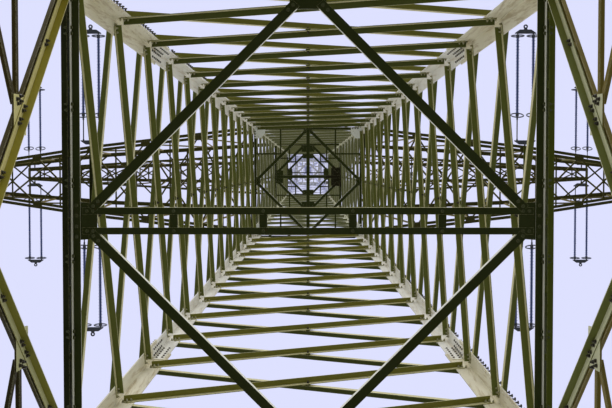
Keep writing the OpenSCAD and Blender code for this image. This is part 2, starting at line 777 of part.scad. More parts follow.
// Sides of an arm: the top chords, which come down to the tip, each with the posts and diagonals under it
module arm_sides(z, plan, top, foot_z, xs, twin) {
    fall = fall_of(z, top, foot_z);
    for (s = [-1, 1]) {
        on_top(top, foot_z, fall) mirror([0, 0, 1]) bent_angle(slant(top, fall), s, 0, top_chord_w);
        for (i = [1 : len(xs) - 2]) {
            low = [xs[i], s * (lookup(xs[i], plan) - lace_in(twin)), z + chord_t + lace_w + bite];
            side_lace(low, under_chord(xs[i], s, top, foot_z, fall), s);
            side_lace(low + [0, 0, diagonal_rise],
                      under_chord(xs[i - 1] + (i == 1 ? first_lace : 0), s, top, foot_z, fall), s);
        }
    }
}

// Crossed lacing on top of the top chords' flanges
module arm_top(z, top, foot_z, xs) {
    fall = fall_of(z, top, foot_z);
    along = [for (x = xs) (x - top[0][0]) / cos(fall)];
    on_top(top, foot_z, fall) crossed_bays(along, slant(top, fall), 2 * chord_t, 2 * step, 1, len(xs) - 3);
}

// Plate that lies on the front or back flange of a leg and carries an arm chord
module arm_gusset(z, k) {
    x = half(z) - leg_w(z) + arm_plate_in;
    on_face(k) mirror([k / 2, 0, 0]) translate([x, on_side(0, z).y - arm_plate_h / 2, 0])
        cube([half(z) + arm_plate_out - x, arm_plate_h, bar_t]);
}

// Lines of the bottom and top chords, as distances from the axis and half widths, and the arms' stations
low_plan = [[half(low_arm_z) + arm_off, half(low_arm_z) + bite], [low_kink, low_kink_w / 2],
            [low_reach, low_tip_w / 2]];
low_top = [[half(low_top_z) + arm_off, half(low_top_z) + 2 * bite], [low_kink, low_kink_top_w / 2],
           [low_reach - tip_t / 2, low_tip_w / 2 - 2 * bite]];
low_xs = stations([low_plan[0][0], low_kink, low_kink + low_first_bay, low_reach],
                  [low_inner_bays, 1, low_outer_bays]);
up_plan = [[half(up_arm_z) + arm_off, half(up_arm_z) - 2 * bite], [up_reach, up_tip_w / 2]];
up_top = [[half(up_top_z) + arm_off, half(up_top_z) + 2 * bite],
          [up_reach - tip_t / 2, up_tip_w / 2 - 2 * bite]];
up_xs = stations([up_plan[0][0], up_reach], [up_bays]);

module low_arm_bottom() {
    color(dark_olive) union() {
        arm_bottom(low_arm_z, low_plan, low_xs, true);
        for (k = [0, 2]) arm_gusset(low_arm_z, k);
    }
}

module low_arm_sides() {
    color(dark_olive) union() {
        arm_sides(low_arm_z, low_plan, low_top, low_top_z, low_xs, true);
        for (k = [0, 2]) arm_gusset(low_top_z, k);
    }
}

module low_arm_top() {
    color(dark_olive) arm_top(low_arm_z, low_top, low_top_z, low_xs);
}

module up_arm_bottom() {
    color(dark_olive) union() {
        arm_bottom(up_arm_z, up_plan, up_xs, false);
        for (k = [0, 2]) arm_gusset(up_arm_z, k);
    }
}

module up_arm_sides() {
    color(dark_olive) union() {
        arm_sides(up_arm_z, up_plan, up_top, up_top_z, up_xs, false);
        for (k = [0, 2]) arm_gusset(up_top_z, k);
    }
}

module up_arm_top() {
    color(dark_olive) arm_top(up_arm_z, up_top, up_top_z, up_xs);
}

// Insulator rod with its end fittings, along y
module insulator_rod() {
    rotate([-90, 0, 0]) {
        cylinder(r = rod_r, h = rod_l);
        for (y = [-rod_cap, rod_l]) translate([0, 0, y]) cylinder(r = rod_r * cap_part, h = rod_cap);
    }
}

// Arcing ring round a rod, tilted, with the spoke that carries it
module arcing_ring(tilt) {
    spoke = ring_bar_r * spoke_part;
    rotate([90 + tilt, 0, 0]) {
        rotate_extrude() translate([ring_r, 0]) circle(r = ring_bar_r, $fn = 24);
        translate([-rod_r / 2, 0, -spoke / 2]) cube([rod_r, ring_r, spoke]);
    }
}

// One set on one side of the arm: a link from the chord, the inner yoke, two rods with rings, and the outer
// yoke with a pin hole
module insulator_set(from_y, rod_y, z) {
    yoke_w = rod_pitch + 2 * yoke_edge;
    end = rod_y + rod_l + rod_cap;
    translate([0, 0, z]) {
        translate([-link_w / 2, from_y, -link_h / 2]) cube([link_w, rod_y - rod_cap - from_y, link_h]);
        for (y = [rod_y - rod_cap - yoke_d + yoke_lap, end - yoke_lap])
            translate([-yoke_w / 2, y, -yoke_t / 2]) cube([yoke_w, yoke_d, yoke_t]);
        for (x = [-1, 1]) translate([x * rod_pitch / 2, rod_y, 0]) {
            insulator_rod();
            for (s = [0, 1]) translate([0, s * rod_l + (s > 0 ? ring_out : -ring_out), 0])
                arcing_ring(s > 0 ? ring_tilt : -ring_tilt);
        }
        translate([0, end + yoke_d - eye_lap, -yoke_t / 2]) difference() {
            translate([-eye_w / 2, 0, 0]) cube([eye_w, eye_l, yoke_t]);
            translate([0, eye_hole, -1]) cylinder(r = pin_r, h = yoke_t + 2);
        }
    }
}

// Outer face of a chord's standing flange beside a link
function chord_face(x, plan, twin) = lookup(x - link_w / 2, plan) - (twin ? chord_w - chord_t : 0) + touch;

// The two sets of one attachment, to the front and to the back
module insulator_pair(x, plan, twin, rod_y, z) {
    color(glaze) for (s = [0, 1]) translate([x, 0, 0]) mirror([0, s, 0])
        insulator_set(chord_face(x, plan, twin), rod_y, z + chord_t + bite + link_h / 2);
}

module insulators_low_inner() {
    insulator_pair(low_kink, low_plan, true, inner_rod_y, low_arm_z);
}

module insulators_low_outer() {
    insulator_pair(low_reach - low_set_in, low_plan, true, outer_rod_y, low_arm_z);
}

module insulators_up() {
    insulator_pair(up_reach - up_set_in, up_plan, false, outer_rod_y, up_arm_z);
}

module left() {
    mirror([1, 0, 0]) children();
}

lower_leg(0);  // leg_lower_front_right
lower_leg(1);  // leg_lower_back_right
lower_leg(2);  // leg_lower_back_left
lower_leg(3);  // leg_lower_front_left
middle_leg(0);  // leg_middle_front_right
middle_leg(1);  // leg_middle_back_right
middle_leg(2);  // leg_middle_back_left
middle_leg(3);  // leg_middle_front_left
upper_leg(0);  // leg_upper_front_right
upper_leg(1);  // leg_upper_back_right
upper_leg(2);  // leg_upper_back_left
upper_leg(3);  // leg_upper_front_left
base_bracing(0);  // base_bracing_front
base_bracing(1);  // base_bracing_right
base_bracing(2);  // base_bracing_back
base_bracing(3);  // base_bracing_left
body_bracing(0);  // body_bracing_front
body_bracing(1);  // body_bracing_right
body_bracing(2);  // body_bracing_back
body_bracing(3);  // body_bracing_left
neck_bracing(0);  // neck_bracing_front
neck_bracing(1);  // neck_bracing_right
neck_bracing(2);  // neck_bracing_back
neck_bracing(3);  // neck_bracing_left
peak();
waist_frame();
waist_plan_bracing();
plan_frames_low_arm();
plan_frames_up_arm();
low_arm_bottom();  // low_arm_bottom_right
low_arm_sides();  // low_arm_sides_right
low_arm_top();  // low_arm_top_right
left() low_arm_bottom();  // low_arm_bottom_left
left() low_arm_sides();  // low_arm_sides_left
left() low_arm_top();  // low_arm_top_left
up_arm_bottom();  // up_arm_bottom_right
up_arm_sides();  // up_arm_sides_right
up_arm_top();  // up_arm_top_right
left() up_arm_bottom();  // up_arm_bottom_left
left() up_arm_sides();  // up_arm_sides_left
left() up_arm_top();  // up_arm_top_left
insulators_low_inner();  // insulators_low_inner_right
insulators_low_outer();  // insulators_low_outer_right
insulators_up();  // insulators_up_right
left() insulators_low_inner();  // insulators_low_inner_left
left() insulators_low_outer();  // insulators_low_outer_left
left() insulators_up();  // insulators_up_left
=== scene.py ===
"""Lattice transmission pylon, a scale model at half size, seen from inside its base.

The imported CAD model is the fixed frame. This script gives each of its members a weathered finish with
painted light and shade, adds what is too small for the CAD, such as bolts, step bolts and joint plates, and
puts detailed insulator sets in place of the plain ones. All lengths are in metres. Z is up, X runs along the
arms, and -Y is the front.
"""

import json
import logging
import math
from collections.abc import Callable, Iterable, Sequence
from dataclasses import dataclass, field, replace
from enum import Enum

import bpy
from mathutils import Matrix, Vector


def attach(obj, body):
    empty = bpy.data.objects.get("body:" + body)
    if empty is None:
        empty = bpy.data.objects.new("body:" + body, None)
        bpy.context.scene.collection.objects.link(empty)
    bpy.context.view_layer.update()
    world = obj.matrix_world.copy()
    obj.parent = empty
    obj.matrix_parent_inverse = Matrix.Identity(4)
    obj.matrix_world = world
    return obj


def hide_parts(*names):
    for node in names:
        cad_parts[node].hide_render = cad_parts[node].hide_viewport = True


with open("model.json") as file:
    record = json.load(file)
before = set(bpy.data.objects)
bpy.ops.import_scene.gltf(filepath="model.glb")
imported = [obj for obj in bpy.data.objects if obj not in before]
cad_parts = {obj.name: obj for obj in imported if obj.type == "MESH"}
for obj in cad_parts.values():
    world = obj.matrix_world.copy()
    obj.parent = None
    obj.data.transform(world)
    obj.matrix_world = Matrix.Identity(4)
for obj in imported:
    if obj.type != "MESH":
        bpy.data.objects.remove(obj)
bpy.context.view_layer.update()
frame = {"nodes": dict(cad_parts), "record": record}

LOG = logging.getLogger("pylon")
BODY = "root"
DOWN = Vector((0, 0, -1))
FACING = 0.9
NEAR = 1e-6
Colour = tuple[float, float, float]
Flat = tuple[float, float]


def linear(colour: Colour) -> tuple[float, float, float, float]:
    """Turns a display colour, from 0 to 255, into the linear one with an alpha of 1 that a shader takes."""
    parts = [c / 255 for c in colour]
    return (*[c / 12.92 if c <= 0.04045 else ((c + 0.055) / 1.055) ** 2.4 for c in parts], 1.0)


@dataclass(frozen=True)
class Tower:
    """Driving sizes of the tower and the places that follow from them."""

    base: float = 3.683
    top: float = 0.161
    height: float = 29.35
    mid_base: float = 4.35
    waist: float = 7.775
    low_arm: float = 17.85
    low_top: float = 21.15
    up_arm: float = 23.75
    up_top: float = 26.45
    joint_gap: float = 0.115
    body_panels: int = 12
    neck_panels: int = 6
    top_panels: int = 5
    leg_t: float = 0.010
    bar_t: float = 0.005
    leg_low: float = 0.125
    leg_mid: float = 0.110
    leg_top: float = 0.085
    low_ring: float = 0.035
    up_ring: float = 0.028
    foot_t: float = 0.018
    clear: float = 0.004
    low_kink: float = 3.05
    low_carrier: float = 5.48
    up_carrier: float = 5.18

    @property
    def slope(self) -> float:
        """Loss of half the width for each metre of height."""
        return (self.base - self.top) / self.height / 2

    @property
    def lean(self) -> float:
        """Angle by which each side leans inwards."""
        return math.atan(self.slope)

    def half(self, z: float) -> float:
        """Half the width over the legs at height z."""
        return self.base / 2 - self.slope * z

    def levels(self, z0: float, z1: float, count: int) -> list[float]:
        """Heights that divide z0 to z1 into panels of one proportion.

        Args:
            z0: Lowest height.
            z1: Highest height.
            count: Number of panels.

        Returns:
            The heights of the panels' joints, from the lowest to the highest.
        """
        shrink = self.half(z1) / self.half(z0)
        halves = [self.half(z0) * shrink ** (i / count) for i in range(count + 1)]
        return [(self.base / 2 - half) / self.slope for half in halves]

    @property
    def body_levels(self) -> list[float]:
        """Heights of the joints of the body's panels."""
        return self.levels(self.waist + self.joint_gap, self.low_arm - self.joint_gap, self.body_panels)

    @property
    def low_splice(self) -> float:
        """Height of the splice between the lower and middle legs, in the middle of a panel."""
        return sum(self.body_levels[2:4]) / 2

    @property
    def top_splice(self) -> float:
        """Height of the splice between the middle and upper legs, in the middle of a panel."""
        return sum(self.levels(self.low_arm + self.joint_gap, self.low_top - self.joint_gap,
                               self.neck_panels)[1:3]) / 2

    def leg(self, z: float) -> float:
        """Flange width of the leg at height z."""
        return self.leg_low if z < self.low_splice else self.leg_mid if z < self.top_splice else self.leg_top


TOWER = Tower()


@dataclass(frozen=True)
class Side:
    """One side of the tower, as a frame of its own: across, up its slope and outwards."""

    turn: int

    @property
    def spin(self) -> Matrix:
        """Turn from the front to this side."""
        return Matrix.Rotation(math.pi / 2 * self.turn, 3, "Z")

    @property
    def across(self) -> Vector:
        """Direction across the side."""
        return self.spin @ Vector((1, 0, 0))

    @property
    def upward(self) -> Vector:
        """Direction up the slope."""
        return self.spin @ Vector((0, math.sin(TOWER.lean), math.cos(TOWER.lean)))

    @property
    def outward(self) -> Vector:
        """Direction square to the side, away from the axis."""
        return self.spin @ Vector((0, -math.cos(TOWER.lean), math.sin(TOWER.lean)))

    def at(self, x: float, z: float, out: float = 0.0) -> Vector:
        """Point of the side, x from its centre line, at height z and out beyond the legs' outer faces."""
        foot = self.spin @ Vector((0, -TOWER.base / 2, 0))
        return foot + self.across * x + self.upward * (z / math.cos(TOWER.lean)) + self.outward * out

    def stand(self, place: Vector) -> Matrix:
        """Place and turn of a piece that stands out square from this side at a point."""
        return Matrix.Translation(place) @ self.outward.to_track_quat("Z", "Y").to_matrix().to_4x4()


SIDES = [Side(turn) for turn in range(4)]


def between(a: Flat, b: Flat, x: float) -> Flat:
    """Point of the line a-b, in the plane of a side, at a given x."""
    return (x, a[1] + (b[1] - a[1]) * (x - a[0]) / (b[0] - a[0]))


class Slot(Enum):
    """Material slots of the record."""

    LEG = "leg_paint"
    BRACING = "bracing_paint"
    FRAME = "frame_paint"
    ARM = "arm_paint"
    GLAZE = "insulator_glaze"


class NodeBoard:
    """Adds and joins the nodes of one material or node group."""

    def __init__(self, tree: bpy.types.NodeTree) -> None:
        """Starts on a node tree, which is emptied."""
        self.tree = tree
        tree.nodes.clear()

    def put(self, sockets: Iterable[bpy.types.NodeSocket], values: Iterable[object]) -> None:
        """Gives each input socket its value, or a link where the value is another node's output.

        Args:
            sockets: The input sockets.
            values: One value or output socket for each.
        """
        for socket, value in zip(sockets, values):
            if isinstance(value, bpy.types.NodeSocket):
                self.tree.links.new(value, socket)
            else:
                socket.default_value = value

    def add(self, kind: str, settings: dict | None = None, **inputs: object) -> bpy.types.Node:
        """Adds a node.

        Args:
            kind: Blender's name for the type of node.
            settings: Properties of the node.
            **inputs: Values or output sockets for its inputs, by name with spaces as underscores.

        Returns:
            The new node.
        """
        node = self.tree.nodes.new(kind)
        for name, value in (settings or {}).items():
            setattr(node, name, value)
        for name, value in inputs.items():
            label = name.replace("_", " ")
            self.put([next(s for s in node.inputs if s.enabled and s.name == label)], [value])
        return node

    def maths(self, operation: str, *values: object, clamp: bool = True) -> bpy.types.NodeSocket:
        """Joins values by an operation.

        Args:
            operation: Blender's name for it.
            *values: Numbers or output sockets.
            clamp: Whether the result is kept from 0 to 1.

        Returns:
            The result's socket.
        """
        node = self.add("ShaderNodeMath", {"operation": operation, "use_clamp": clamp})
        self.put(node.inputs, values)
        return node.outputs[0]

    def vector(self, operation: str, *values: object) -> bpy.types.NodeSocket:
        """Joins vectors by an operation.

        Args:
            operation: Blender's name for it.
            *values: Vectors or output sockets.

        Returns:
            The result's socket.
        """
        node = self.add("ShaderNodeVectorMath", {"operation": operation})
        self.put(node.inputs, values)
        return node.outputs["Value" if operation in ("DOT_PRODUCT", "DISTANCE") else "Vector"]

    def ramp(self, value: bpy.types.NodeSocket, low: float, high: float,
             out_low: float = 0.0, out_high: float = 1.0) -> bpy.types.NodeSocket:
        """Maps one range of a value smoothly to another.

        Args:
            value: Output socket of the value.
            low: Start of its range, which may be the larger end.
            high: End of its range.
            out_low: What low becomes.
            out_high: What high becomes.

        Returns:
            The result's socket.
        """
        node = self.add("ShaderNodeMapRange", {"interpolation_type": "SMOOTHSTEP"}, Value=value, From_Min=low,
                        From_Max=high, To_Min=out_low, To_Max=out_high)
        return node.outputs["Result"]

    def blend(self, mask: object, a: object, b: object, mode: str = "MIX") -> bpy.types.NodeSocket:
        """Mixes one colour over another by a mask.

        Args:
            mask: Share of b, as a number or an output socket.
            a: The colour below.
            b: The colour above.
            mode: Blender's name for the way of mixing.

        Returns:
            The result's socket.
        """
        node = self.add("ShaderNodeMix", {"data_type": "RGBA", "blend_type": mode})
        self.put([node.inputs[0], node.inputs[6], node.inputs[7]], (mask, a, b))
        return node.outputs[2]

    def tint(self, base: object, mask: object, amount: float, colour: Colour) -> bpy.types.NodeSocket:
        """Lays some of a display colour over a base where a mask says and returns the result's socket."""
        return self.blend(self.maths("MULTIPLY", mask, amount), base, linear(colour))

    def place(self) -> bpy.types.NodeSocket:
        """Returns the socket of the object coordinates."""
        return self.add("ShaderNodeTexCoord").outputs["Object"]

    def normal(self) -> bpy.types.NodeSocket:
        """Returns the socket of the direction that a face points in."""
        return self.add("ShaderNodeNewGeometry").outputs["Normal"]

    def noise(self, place: bpy.types.NodeSocket, scale: object, **inputs: float) -> bpy.types.NodeSocket:
        """Adds a noise at some scale and returns its value's socket."""
        return self.add("ShaderNodeTexNoise", None, Vector=place, Scale=scale, **inputs).outputs["Fac"]

    def group(self, tree: bpy.types.NodeTree, **inputs: float) -> Sequence[bpy.types.NodeSocket]:
        """Places a node group with its own values and returns its output sockets, which go by name."""
        return self.add("ShaderNodeGroup", {"node_tree": tree}, **inputs).outputs


class GroupBoard(NodeBoard):
    """Builds one shader node group, from number inputs to number outputs."""

    def __init__(self, name: str, **inputs: float) -> None:
        """Starts an empty group.

        Args:
            name: Name of the group.
            **inputs: Its inputs with their usual values.
        """
        super().__init__(bpy.data.node_groups.new(name, "ShaderNodeTree"))
        for label, value in inputs.items():
            socket = self.tree.interface.new_socket(label, in_out="INPUT", socket_type="NodeSocketFloat")
            socket.default_value = value
        self.given = self.add("NodeGroupInput").outputs

    def finish(self, **outputs: bpy.types.NodeSocket) -> bpy.types.NodeTree:
        """Gives the group its outputs.

        Args:
            **outputs: The socket that each of them comes from.

        Returns:
            The finished group.
        """
        for label in outputs:
            self.tree.interface.new_socket(label, in_out="OUTPUT", socket_type="NodeSocketFloat")
        leave = self.add("NodeGroupOutput")
        self.put([leave.inputs[label] for label in outputs], outputs.values())
        return self.tree


class WeatherAndLightGroups:
    """Shader node groups that several finishes share."""

    def __init__(self) -> None:
        """Builds the groups."""
        self.edges = self.build_edges()
        self.runs = self.build_runs()
        self.patches = self.build_patches()
        self.sunward = self.build_sunward()
        self.light_and_shade_masks = self.build_light_and_shade_masks()
        self.bloom = self.build_bloom()

    def build_edges(self) -> bpy.types.NodeTree:
        """Builds the group that finds the edges of members, broken up by a grain, for a painted highlight.

        Returns:
            The group, with its mask Edges.
        """
        board = GroupBoard("worn_edges", Width=0.004, Grain=40.0)
        bevel = board.add("ShaderNodeBevel", {"samples": 4}, Radius=board.given["Width"])
        raw = board.ramp(board.vector("DOT_PRODUCT", bevel.outputs[0], board.normal()), 0.995, 0.80)
        grain = board.noise(board.place(), board.given["Grain"], Detail=3.0)
        return board.finish(Edges=board.maths("MULTIPLY", raw, board.ramp(grain, 0.30, 0.52)))

    def build_runs(self) -> bpy.types.NodeTree:
        """Builds the group that draws the long runs that rain leaves, and marks the faces turned down, where
        the coats take painted light and shade and the glaze dust.

        Returns:
            The group, with its masks Runs and Undersides.
        """
        board = GroupBoard("rain_runs", Fineness=30.0)
        long = board.add("ShaderNodeMapping", None, Vector=board.place(), Scale=(1.0, 1.0, 0.045))
        lines = board.noise(long.outputs[0], board.given["Fineness"], Detail=5.0, Roughness=0.65)
        upright = board.add("ShaderNodeSeparateXYZ", None, Vector=board.normal()).outputs["Z"]
        return board.finish(Runs=board.ramp(lines, 0.48, 0.68), Undersides=board.ramp(upright, 0.1, -0.8))

    def build_patches(self) -> bpy.types.NodeTree:
        """Builds the group that draws broad patches, small specks and the fine grain of a coat.

        Returns:
            The group, with its masks Patches and Specks, and Grain for the bump.
        """
        board = GroupBoard("coat_patches", Breadth=3.0)
        place = board.place()
        broad = board.noise(place, board.given["Breadth"], Detail=6.0, Roughness=0.6)
        specks = board.noise(place, 65.0, Detail=4.0, Roughness=0.7)
        return board.finish(Patches=board.ramp(broad, 0.36, 0.64), Specks=board.ramp(specks, 0.60, 0.70),
                            Grain=board.noise(place, 420.0, Detail=2.0))

    def build_sunward(self) -> bpy.types.NodeTree:
        """Builds the group that finds the bars whose undersides get painted light: the front's outer and the
        back's inner ones.

        Returns:
            The group, with its mask Sunward.
        """
        board = GroupBoard("sunward_members")
        _, y, z = board.add("ShaderNodeSeparateXYZ", None, Vector=board.place()).outputs
        rim = board.maths("MULTIPLY_ADD", z, TOWER.slope, -TOWER.base / 2, clamp=False)
        front, back = [board.maths("MULTIPLY_ADD", y, sign, rim, clamp=False) for sign in (-1.0, 1.0)]
        behind = board.maths("MULTIPLY", board.ramp(back, -0.008, -0.0095), board.ramp(y, 0.0, 0.01))
        return board.finish(Sunward=board.maths("ADD", board.ramp(front, -0.001, 0.001), behind))

    def build_light_and_shade_masks(self) -> bpy.types.NodeTree:
        """Builds the group that marks faces by their place on the tower, for painted light and shade.

        Returns:
            The group. Inward marks faces turned to the axis, Beyond members outside the legs' inner faces,
            High those above the upper arms' bottom frame, Sunny the right side, and Rear what is behind the
            arms' plane.
        """
        board = GroupBoard("axis_faces")
        place = board.place()
        away = board.vector("NORMALIZE", board.vector("MULTIPLY", place, (1.0, 1.0, 0.0)))
        turned = board.vector("DOT_PRODUCT", away, board.normal())
        x, y, z = board.add("ShaderNodeSeparateXYZ", None, Vector=place).outputs
        sizes = [board.maths("ABSOLUTE", way, clamp=False) for way in (x, y)]
        reach = board.maths("MAXIMUM", *sizes, clamp=False)
        rim = board.maths("MULTIPLY_ADD", z, TOWER.slope, reach, clamp=False)
        inner = TOWER.base / 2 - TOWER.leg_t
        return board.finish(Inward=board.ramp(turned, -0.1, -0.5),
                            Beyond=board.ramp(rim, inner + 0.001, inner + 0.002),
                            High=board.ramp(z, TOWER.up_arm + 0.1, TOWER.up_arm + 0.4),
                            Sunny=board.ramp(x, 1.2, 1.25), Rear=board.ramp(y, -0.02, 0.02))

    def build_bloom(self) -> bpy.types.NodeTree:
        """Builds the group that marks the rusty plate of the frame at the lower arms' top chords.

        Returns:
            The group, with its mask Bloom.
        """
        board = GroupBoard("rust_bloom")
        place = board.place()
        from_leg, reach, edge = 0.09, 0.17, 0.04
        middle = (TOWER.half(TOWER.low_top) - from_leg, 0.0, TOWER.low_top)
        near = board.ramp(board.vector("DISTANCE", place, middle), reach + edge, reach)
        grain = board.ramp(board.noise(place, 18.0, Detail=4.0), 0.2, 0.4)
        return board.finish(Bloom=board.maths("MULTIPLY", near, grain))


def new_material(name: str) -> tuple[bpy.types.Material, NodeBoard]:
    """Starts a material of nodes.

    Args:
        name: Name of the material.

    Returns:
        The material and its board.
    """
    material = bpy.data.materials.new(name)
    material.use_nodes = True
    return material, NodeBoard(material.node_tree)


@dataclass(frozen=True)
class PaintFinish:
    """A weathered coat on steel, which chalks in broad patches and carries painted light and shade on its
    faces.

    Colours are display values from 0 to 255. Below is the colour of faces turned down: painted shade where it
    is darker than the coat, painted light where it is lighter. Of those that a finish may do without, lit is
    painted light on the undersides of the sunward members, inner a painted highlight on faces turned to the
    axis, shade a painted shade on the outer angle of a double member as seen from the axis, sunlit painted
    light on the same on the waist's right side, rear a painted shade that multiplies the others behind the
    arms' plane, high a painted light, near white, on everything above the upper arms' bottom frame, and rust
    that of one rusty plate. Shade, rear and high go with an inner colour.
    """

    name: str
    slot: Slot
    coat: Colour
    faded: Colour
    below: Colour
    stain: Colour
    speck: Colour
    edge_highlight: Colour
    lit: Colour | None = None
    inner: Colour | None = None
    shade: Colour | None = None
    sunlit: Colour | None = None
    rear: Colour | None = None
    high: Colour | None = None
    rust: Colour | None = None
    stains: float = 0.5
    specks: float = 0.5
    edge_width: float = 0.004
    edge_amount: float = 0.8
    breadth: float = 3.0
    fineness: float = 30.0
    rough: tuple[float, float] = (0.5, 0.75)
    metallic: float = 0.0
    gloss: float = 0.08
    grain: float = 0.35
    grain_depth: float = 0.0006

    def build(self, groups: WeatherAndLightGroups) -> bpy.types.Material:
        """Builds the material.

        Args:
            groups: The shared node groups.

        Returns:
            The finished material.
        """
        material, board = new_material(self.name)
        edges = board.group(groups.edges, Width=self.edge_width)
        runs = board.group(groups.runs, Fineness=self.fineness)
        patches = board.group(groups.patches, Breadth=self.breadth)
        colour = board.blend(patches["Patches"], linear(self.coat), linear(self.faded))
        colour = board.tint(colour, runs["Runs"], self.stains, self.stain)
        below = linear(self.below)
        # Painted light on the undersides of the sunward bars.
        if self.lit:
            below = board.blend(board.group(groups.sunward)["Sunward"], below, linear(self.lit))
        # Painted highlight on the faces turned to the axis.
        if self.inner:
            light_and_shade_masks = board.group(groups.light_and_shade_masks)
            colour = board.blend(light_and_shade_masks["Inward"], colour, linear(self.inner))
        # Faces turned down take the below colour, which paints shade where it is darker than the coat and
        # light where it is paler.
        colour = board.blend(runs["Undersides"], colour, below)
        # Painted shade on the outer angle of double members, on its faces turned to the axis and down.
        if self.shade:
            hidden = board.maths("ADD", light_and_shade_masks["Inward"], runs["Undersides"])
            hidden = board.maths("MULTIPLY", hidden, light_and_shade_masks["Beyond"])
            colour = board.blend(hidden, colour, linear(self.shade))
            # Painted sunlight on that outer angle on the right side of the waist.
            if self.sunlit:
                hidden = board.maths("MULTIPLY", hidden, light_and_shade_masks["Sunny"])
                colour = board.blend(hidden, colour, linear(self.sunlit))
        # Painted shade, darker and bluer, behind the arms' plane.
        if self.rear:
            colour = board.blend(light_and_shade_masks["Rear"], colour, linear(self.rear), "MULTIPLY")
        # Painted light: everything above the upper arms' bottom frame turns near white.
        if self.high:
            colour = board.blend(light_and_shade_masks["High"], colour, linear(self.high))
        if self.rust:
            colour = board.blend(board.group(groups.bloom)["Bloom"], colour, linear(self.rust))
        colour = board.tint(colour, patches["Specks"], self.specks, self.speck)
        # Painted highlight along the edges of members, broken up by a grain.
        colour = board.tint(colour, edges["Edges"], self.edge_amount, self.edge_highlight)
        rough = board.ramp(patches["Patches"], 0.0, 1.0, *self.rough)
        bump = board.add("ShaderNodeBump", None, Strength=self.grain, Distance=self.grain_depth,
                         Height=patches["Grain"])
        shader = board.add("ShaderNodeBsdfPrincipled", None, Base_Color=colour, Roughness=rough,
                           Metallic=self.metallic, Normal=bump.outputs[0], Specular_IOR_Level=self.gloss)
        board.add("ShaderNodeOutputMaterial", None, Surface=shader.outputs[0])
        return material


@dataclass(frozen=True)
class GlazeFinish:
    """A glossy coat over a plain body, with dust where rain doesn't reach."""

    name: str
    slot: Slot
    coat: Colour
    pale: Colour
    dust: Colour
    dusty: float = 0.3
    breadth: float = 14.0
    fineness: float = 60.0
    rough: tuple[float, float] = (0.22, 0.42)
    glaze: float = 0.4
    glaze_rough: float = 0.15

    def build(self, groups: WeatherAndLightGroups) -> bpy.types.Material:
        """Builds the material.

        Args:
            groups: The shared node groups.

        Returns:
            The finished material.
        """
        material, board = new_material(self.name)
        runs = board.group(groups.runs, Fineness=self.fineness)
        patches = board.group(groups.patches, Breadth=self.breadth)
        colour = board.blend(patches["Patches"], linear(self.coat), linear(self.pale))
        colour = board.tint(colour, runs["Undersides"], self.dusty, self.dust)
        rough = board.ramp(patches["Patches"], 0.0, 1.0, *self.rough)
        shader = board.add("ShaderNodeBsdfPrincipled", None, Base_Color=colour, Roughness=rough,
                           Coat_Weight=self.glaze, Coat_Roughness=self.glaze_rough)
        board.add("ShaderNodeOutputMaterial", None, Surface=shader.outputs[0])
        return material


# Below colours paint shade on faces turned down, and light where they are paler than the coat, as on the dull
# zinc. Inner colours are painted highlights on faces turned to the axis, the edge colours painted highlights
# along edges, and lit, shade, sunlit, rear and high paint light and shade by place.
LEG_COAT = PaintFinish(
    "leg_coat", Slot.LEG, coat=(244, 243, 236), faded=(252, 251, 247), below=(246, 242, 226),
    stain=(196, 176, 144), speck=(150, 104, 78), edge_highlight=(252, 252, 248), stains=0.45, specks=0.35, breadth=2.2)
LEG_CREAM = replace(
    LEG_COAT, name="leg_cream", coat=(232, 226, 202), faded=(242, 238, 220), below=(208, 200, 160),
    stain=(168, 146, 104), stains=0.6)
OLIVE_COAT = PaintFinish(
    "olive_coat", Slot.BRACING, coat=(162, 160, 98), faded=(180, 177, 122), below=(114, 121, 66),
    stain=(112, 110, 54), speck=(118, 74, 46), edge_highlight=(226, 222, 186), inner=(235, 229, 184), specks=0.35)
SUNNY_OLIVE = replace(OLIVE_COAT, name="sunny_olive", below=(89, 96, 52), lit=(135, 134, 65))
# Lit copy of the olive coat for the left and front base bracing: its light, yellow undersides and faces are
# painted light. The right and back base bracing take the greyer copy below.
LIT_BASE_OLIVE = replace(
    OLIVE_COAT, name="warm_olive", coat=(196, 186, 96), faded=(214, 204, 126), below=(168, 159, 64),
    inner=(250, 241, 173), shade=(75, 66, 38), rear=(216, 224, 240))
COOL_OLIVE = replace(
    OLIVE_COAT, name="cool_olive", coat=(170, 170, 120), faded=(190, 190, 150), below=(113, 120, 60),
    inner=(239, 240, 204), shade=(137, 122, 64))
NECK_OLIVE = replace(
    OLIVE_COAT, name="neck_olive", coat=(178, 178, 148), faded=(206, 204, 184), below=(124, 128, 89),
    stain=(122, 122, 92), edge_highlight=(226, 226, 216), inner=(237, 237, 219), high=(226, 229, 255))
FRAME_COAT = PaintFinish(
    "frame_coat", Slot.FRAME, coat=(178, 174, 122), faded=(196, 192, 148), below=(55, 62, 32),
    stain=(112, 110, 70), speck=(104, 62, 44), edge_highlight=(206, 202, 162), inner=(255, 255, 246),
    shade=(42, 46, 22), sunlit=(93, 102, 38), high=(255, 255, 255), rust=(42, 40, 26), stains=0.2, specks=0.3,
    edge_width=0.003, edge_amount=0.6)
ARM_COAT = PaintFinish(
    "arm_coat", Slot.ARM, coat=(140, 134, 78), faded=(160, 142, 98), below=(75, 74, 37), stain=(88, 80, 46),
    speck=(124, 70, 54), edge_highlight=(200, 196, 160), edge_width=0.003, edge_amount=0.5)
DULL_ZINC = PaintFinish(
    "dull_zinc", Slot.LEG, coat=(228, 233, 240), faded=(244, 247, 252), below=(242, 247, 255),
    stain=(158, 154, 148), speck=(104, 88, 74), edge_highlight=(250, 252, 255), specks=0.9, breadth=12.0,
    rough=(0.35, 0.6), metallic=0.2, gloss=0.4)
